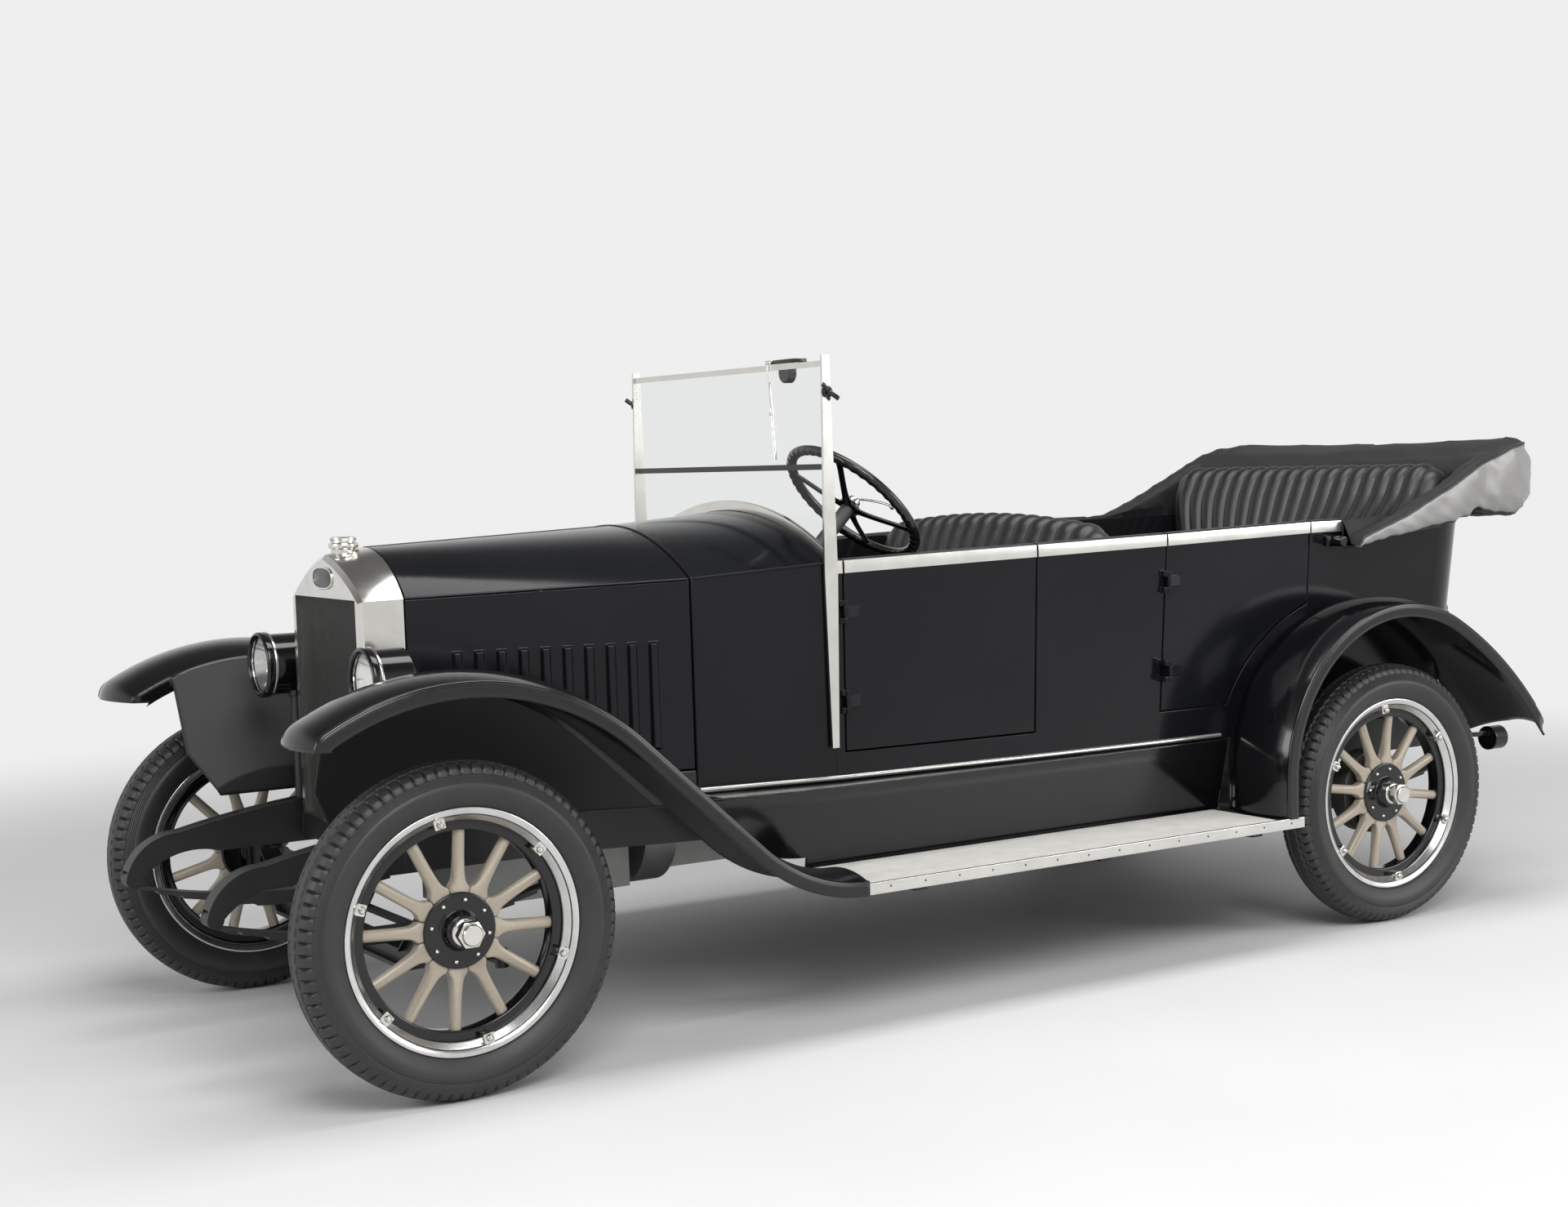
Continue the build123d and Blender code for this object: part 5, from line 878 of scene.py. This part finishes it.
# Radiator: blank badge in a bright border, and the filler cap turned in rings
badgeLook = dict(x=1.668, z=1.149, halfWidth=0.066, halfHeight=0.0285, power=2.6, border=0.0045)
capX, edge = 1.6115, -badgeLook["border"]


def badgePart(levels):
    # superellipses of (growth, distance out of the shell), one after another
    c, s = (signedPower(wave(fullTurn(56)), 2 / badgeLook["power"]) for wave in (np.cos, np.sin))
    return cappedTube(np.stack([
        joined(badgeLook["x"] + out, c * (badgeLook["halfWidth"] + grow),
               s * (badgeLook["halfHeight"] + grow) + badgeLook["z"]) for grow, out in levels]))


makePiece("badge_border", [badgePart([(0, -0.002), (0, 0.002), (-0.001, 0.003), (edge, 0.003),
                                      (edge, 0.0005)])], "nickel")
makePiece("badge_plate", [badgePart([(edge, 0.0), (edge, 0.0012), (edge - 0.004, 0.0022)])], "badgeEnamel")
capProfile = [(0.0285, 1.19), (0.0325, 1.196), (0.0325, 1.2005), (0.0275, 1.204), (0.027, 1.214),
              (0.03, 1.2185), (0.0362, 1.221), (0.0372, 1.225), (0.0372, 1.229), (0.0355, 1.2325),
              (0.0315, 1.234), (0.031, 1.2395), (0.033, 1.2425), (0.0325, 1.2462), (0.027, 1.2485)]
makePiece("filler_cap", [moved(upright(lathed(capProfile, 56)), None, (capX, 0, 0))], "nickel",
          replaces=["radiator_cap"])

# Windscreen posts: a blank black clamp with a wing on each, outside the post
nutLook = dict(place=(0.507, 0.5095, 1.578), radius=0.015, wing=0.03, lean=38)


def wingNutParts(place, radius, wing, lean):
    # a turned clamp, and an oval bar along a path that bends by a cosine
    along, lean = np.linspace(-1, 1, 16), math.radians(lean)
    path = joined(along * wing * math.cos(lean), 0.016 - 0.004 * np.cos(along * np.pi),
                  along * wing * math.sin(lean))
    clamp = lathed([(radius, -0.001), (radius, 0.006), (0.01, 0.009), (0.008, 0.017), (0.005, 0.019)], 28)
    bar = sweptAlong(path, circleOutline([0.0035, 0.0065], 12))
    return [moved(clamp, None, place), moved(bar, None, place)]


bothSides("wing_nut", wingNutParts(**nutLook), "fenderEnamel")

# Wiper: a blank motor behind the top bar, its bridge, and a thin arm and blade before the pane
wiperLook = dict(motor=(0.294, 1.6355), radius=0.027, depth=0.024, x=0.507, bar=0.0085, top=1.659,
                 armY=0.243, armRadius=0.0016, bladeOut=0.0062, bladeTop=1.612, bladeFoot=(0.265, 1.409))


def makeWiper(motor, radius, depth, x, bar, top, armY, armRadius, bladeOut, bladeTop, bladeFoot):
    # a half round case, its bridge over the bar, and the spindle with arm and oval blade
    y, z = motor
    behind, ahead = x - bar, x + bar
    disc = chained(arcPoints(motor, radius, 180, 360, 24),
                   [(y + radius, z + 0.012), (y - radius, z + 0.012)])
    levels = ((-depth, 0.94), (0.002 - depth, 1.0), (-0.002, 1.0), (0.0, 0.94))
    case = cappedTube(np.stack([np.insert((disc - motor) * scale + motor, 0, behind + out, axis=1)
                                for out, scale in levels]))
    bridge = slab((behind - depth, armY + 0.02, top), (ahead, y + 0.078, top + 0.0105), 0.003)
    spindle = slab((behind - 0.004, armY - 0.006, top), (ahead + 0.006, armY + 0.022, top + 0.01), 0.003)
    arm = resampled([(ahead + 0.003, armY, 1.664), (ahead + 0.0035, armY + 0.001, 1.64),
                     (ahead - 0.001, armY + 0.01, 1.53)], 12)
    blade = sweptAlong([(x + bladeOut, armY + 0.003, bladeTop), (x + bladeOut, *bladeFoot)],
                       circleOutline([0.0034, 0.002], 10), (1, 0, 0))
    holder = moved(slab((-0.004, -0.006, -0.004), (0.004, 0.006, 0.004), 0.0015), None, arm[-1])
    makePiece("wiper_motor", [case, bridge], "fenderEnamel", replaces=["wiper"])
    makePiece("wiper_arm", [spindle, tubeAlong(arm, armRadius, 8), blade, holder], "nickel")


makeWiper(**wiperLook)
print("front details made")

# Steering wheel: grip with finger notches under it, four curved arms, boss and hand lever
wheelLook = dict(centre=(0.296, 0.3, 1.29), rake=45, ring=0.201, grip=0.0148, notches=44, notch=0.0026,
                 armCount=4, armTurn=34, armDrop=0.018, bossRadius=0.031, leverRadius=0.0032)


def makeSteeringWheel(centre, rake, ring, grip, notches, notch, armCount, armTurn, armDrop, bossRadius,
                      leverRadius):
    # made flat with z towards the driver, then leaned back by rake
    lean = math.radians(rake)
    basis = np.array([[0, 1, 0], [-math.sin(lean), 0, -math.cos(lean)],
                      [-math.cos(lean), 0, math.sin(lean)]]).T
    around, section = fullTurn(264)[:, None], fullTurn(20)
    thick = grip - notch * np.clip(-np.sin(section), 0, 1) * (0.5 - 0.5 * np.cos(around * notches))
    reach = ring + thick * np.cos(section)
    gripRing = grid(joined(reach * np.cos(around), reach * np.sin(around), thick * np.sin(section) * 0.9))
    t, bar = np.linspace(0, 1, 22)[:, None], fullTurn(14)
    out, drop = 0.012 + (ring - 0.014) * t, armDrop * np.cos(t * np.pi / 2) ** 1.5
    spread = 0.0098 + 0.011 * np.exp(-t / 0.13) + 0.007 * np.exp(-(1 - t) / 0.07)
    across, up = np.cos(bar) * spread, 0.0055 * np.sin(bar) - drop
    arms = [cappedTube(joined(out * math.cos(turn) - across * math.sin(turn),
                              out * math.sin(turn) + across * math.cos(turn), up))
            for turn in fullTurn(armCount) + math.radians(armTurn)]
    boss = lathed([(0.02, -0.024), (bossRadius, -0.02), (bossRadius, -0.01), (0.024, -0.004)], 36)
    dome = lathed([(0.019, -0.006), (0.019, 0.006), (0.015, 0.012), (0.006, 0.0145)], 36)
    lever = np.array([(0.0, 0.0, 0.013), (0.03, 0.018, 0.026), (0.075, 0.04, 0.034), (0.098, 0.052, 0.034)])
    knob = lathed([(0.003, -0.008), (0.008, -0.004), (0.008, 0.004), (0.003, 0.008)], 14)
    leverParts = [tubeAlong(resampled(lever, 12), leverRadius, side=(0, 0, 1)), moved(knob, None, lever[-1])]
    for name, parts, finish, replaced in (
            ("steering_grip", [gripRing], "ebonite", ["steering_wheel"]),
            ("steering_arms", arms + [upright(boss)], "fenderEnamel", []),
            ("steering_boss", [upright(dome)], "nickel", []),
            ("hand_lever", leverParts, "nickel", [])):
        makePiece(name, [moved(part, basis, centre) for part in parts], finish, "hand_wheel",
                  replaces=replaced)


makeSteeringWheel(**wheelLook)
print("steering made")


def addPlaced(name, data, side, up, back, place):
    # a camera or light that looks against back
    item = bpy.data.objects.new(name, data)
    scene.collection.objects.link(item)
    matrix = np.eye(4)
    matrix[:3] = joined(side, up, back, place)
    item.matrix_world = Matrix(matrix.tolist())
    return item


# Camera from the photo's perspective
view = dict(place=(3.6151, 5.286, 1.3991), azimuth=-123.776, elevation=-5.312, roll=-0.0268,
            lens=51.1, shiftX=-0.0498, shiftY=0.0414)


def addCamera(place, azimuth, elevation, roll, lens, shiftX, shiftY):
    # the line of sight from azimuth and elevation, then a roll about it
    az, el = math.radians(azimuth), math.radians(elevation)
    ahead = np.array([math.cos(az) * math.cos(el), math.sin(az) * math.cos(el), math.sin(el)])
    right = unit(np.cross(ahead, [0, 0, 1]))
    up = np.cross(right, ahead)
    c, s = math.cos(roll), math.sin(roll)
    data = bpy.data.cameras.new("camera")
    data.lens, data.sensor_width, data.shift_x, data.shift_y = lens, 36, shiftX, shiftY
    scene.camera = addPlaced("camera", data, c * right + s * up, c * up - s * right, -ahead, place)


addCamera(**view)

# Soft studio: large lights with no sharp edges, a pale floor and a pale backdrop colour
lights = [
    ("keyLight", (2.4, 5.4, 5.2), (0.2, 0.4, 0.5), (4.0, 3.0), 330),
    ("sideLight", (-4.5, 4.8, 2.6), (-0.8, 0.2, 0.8), (3.2, 2.4), 150),
    ("frontLight", (6.5, 0.5, 2.6), (1.6, 0.0, 0.8), (2.6, 2.2), 90),
    ("topLight", (-0.3, 0.9, 5.4), (-0.3, 0.3, 0.5), (5.0, 2.0), 185),
]
for name, place, target, size, power in lights:
    data = bpy.data.lights.new(name, "AREA")
    data.shape, data.size, data.size_y, data.energy = "RECTANGLE", *size, power
    back = unit(np.subtract(place, target))
    side = unit(np.cross([0, 0, 1], back))
    addPlaced(name, data, side, np.cross(back, side), back, place)

# World: soft even light; the camera, mirrors and glass see a pale backdrop, darker overhead
backdropLook = dict(light=0.36, pale=0.86, overhead=0.16, paleUpTo=0.3, darkFrom=0.75, floor=0.62,
                    fadeFrom=2.9, fadeTo=6.8, floorHalf=14)
look = backdropLook
world = bpy.data.worlds.new("studio")
world.use_nodes = True
scene.world = world
tree = world.node_tree
rays = addNode(tree, "LightPath").outputs
seen = mathNode(tree, "MAXIMUM", rays["Is Camera Ray"],
                mathNode(tree, "MAXIMUM", rays["Is Glossy Ray"], rays["Is Transmission Ray"]))
upward = addNode(tree, "SeparateXYZ", {"Vector": addNode(tree, "TexCoord").outputs["Generated"]})
height = addNode(tree, "MapRange", {"Value": upward.outputs["Z"], "From Min": look["paleUpTo"],
                                    "From Max": look["darkFrom"], "To Min": look["pale"],
                                    "To Max": look["overhead"]}, interpolation_type="SMOOTHSTEP")
grey = addNode(tree, "CombineColor", dict.fromkeys(("Red", "Green", "Blue"), height.outputs["Result"]))
fill = addNode(tree, "MixRGB", {"Fac": seen, "Color1": (*[look["light"]] * 3, 1),
                                "Color2": grey.outputs["Color"]})
feed(tree, tree.nodes["Background"], {"Color": fill.outputs["Color"]})

# Floor: a pale matt square of ground that fades into the backdrop with distance
half = look["floorHalf"]
floorMesh = bpy.data.meshes.new("floor")
floorMesh.from_pydata([(-half, -half, 0), (half, -half, 0), (half, half, 0), (-half, half, 0)], [],
                      [(0, 1, 2, 3)])
floor = bpy.data.objects.new("floor", floorMesh)
scene.collection.objects.link(floor)
floorGrey = newMaterial("floorGrey", color=[look["floor"]] * 3, rough=0.7, vary=0.04, scale=1.0)
floorMesh.materials.append(floorGrey)
tree, shader, place = treeParts(floorGrey)
length = addNode(tree, "VectorMath", {0: place}, operation="LENGTH")
fade = addNode(tree, "MapRange", {"Value": length.outputs["Value"], "From Min": look["fadeFrom"],
                                  "From Max": look["fadeTo"]}, interpolation_type="SMOOTHSTEP")
far = addNode(tree, "Emission", {"Color": (*[look["pale"]] * 3, 1)})
ground = addNode(tree, "MixShader", {"Fac": fade.outputs["Result"], 1: shader.outputs["BSDF"],
                                     2: far.outputs["Emission"]})
feed(tree, tree.nodes["Material Output"], {"Surface": ground.outputs["Shader"]})
scene.view_settings.view_transform = "Standard"
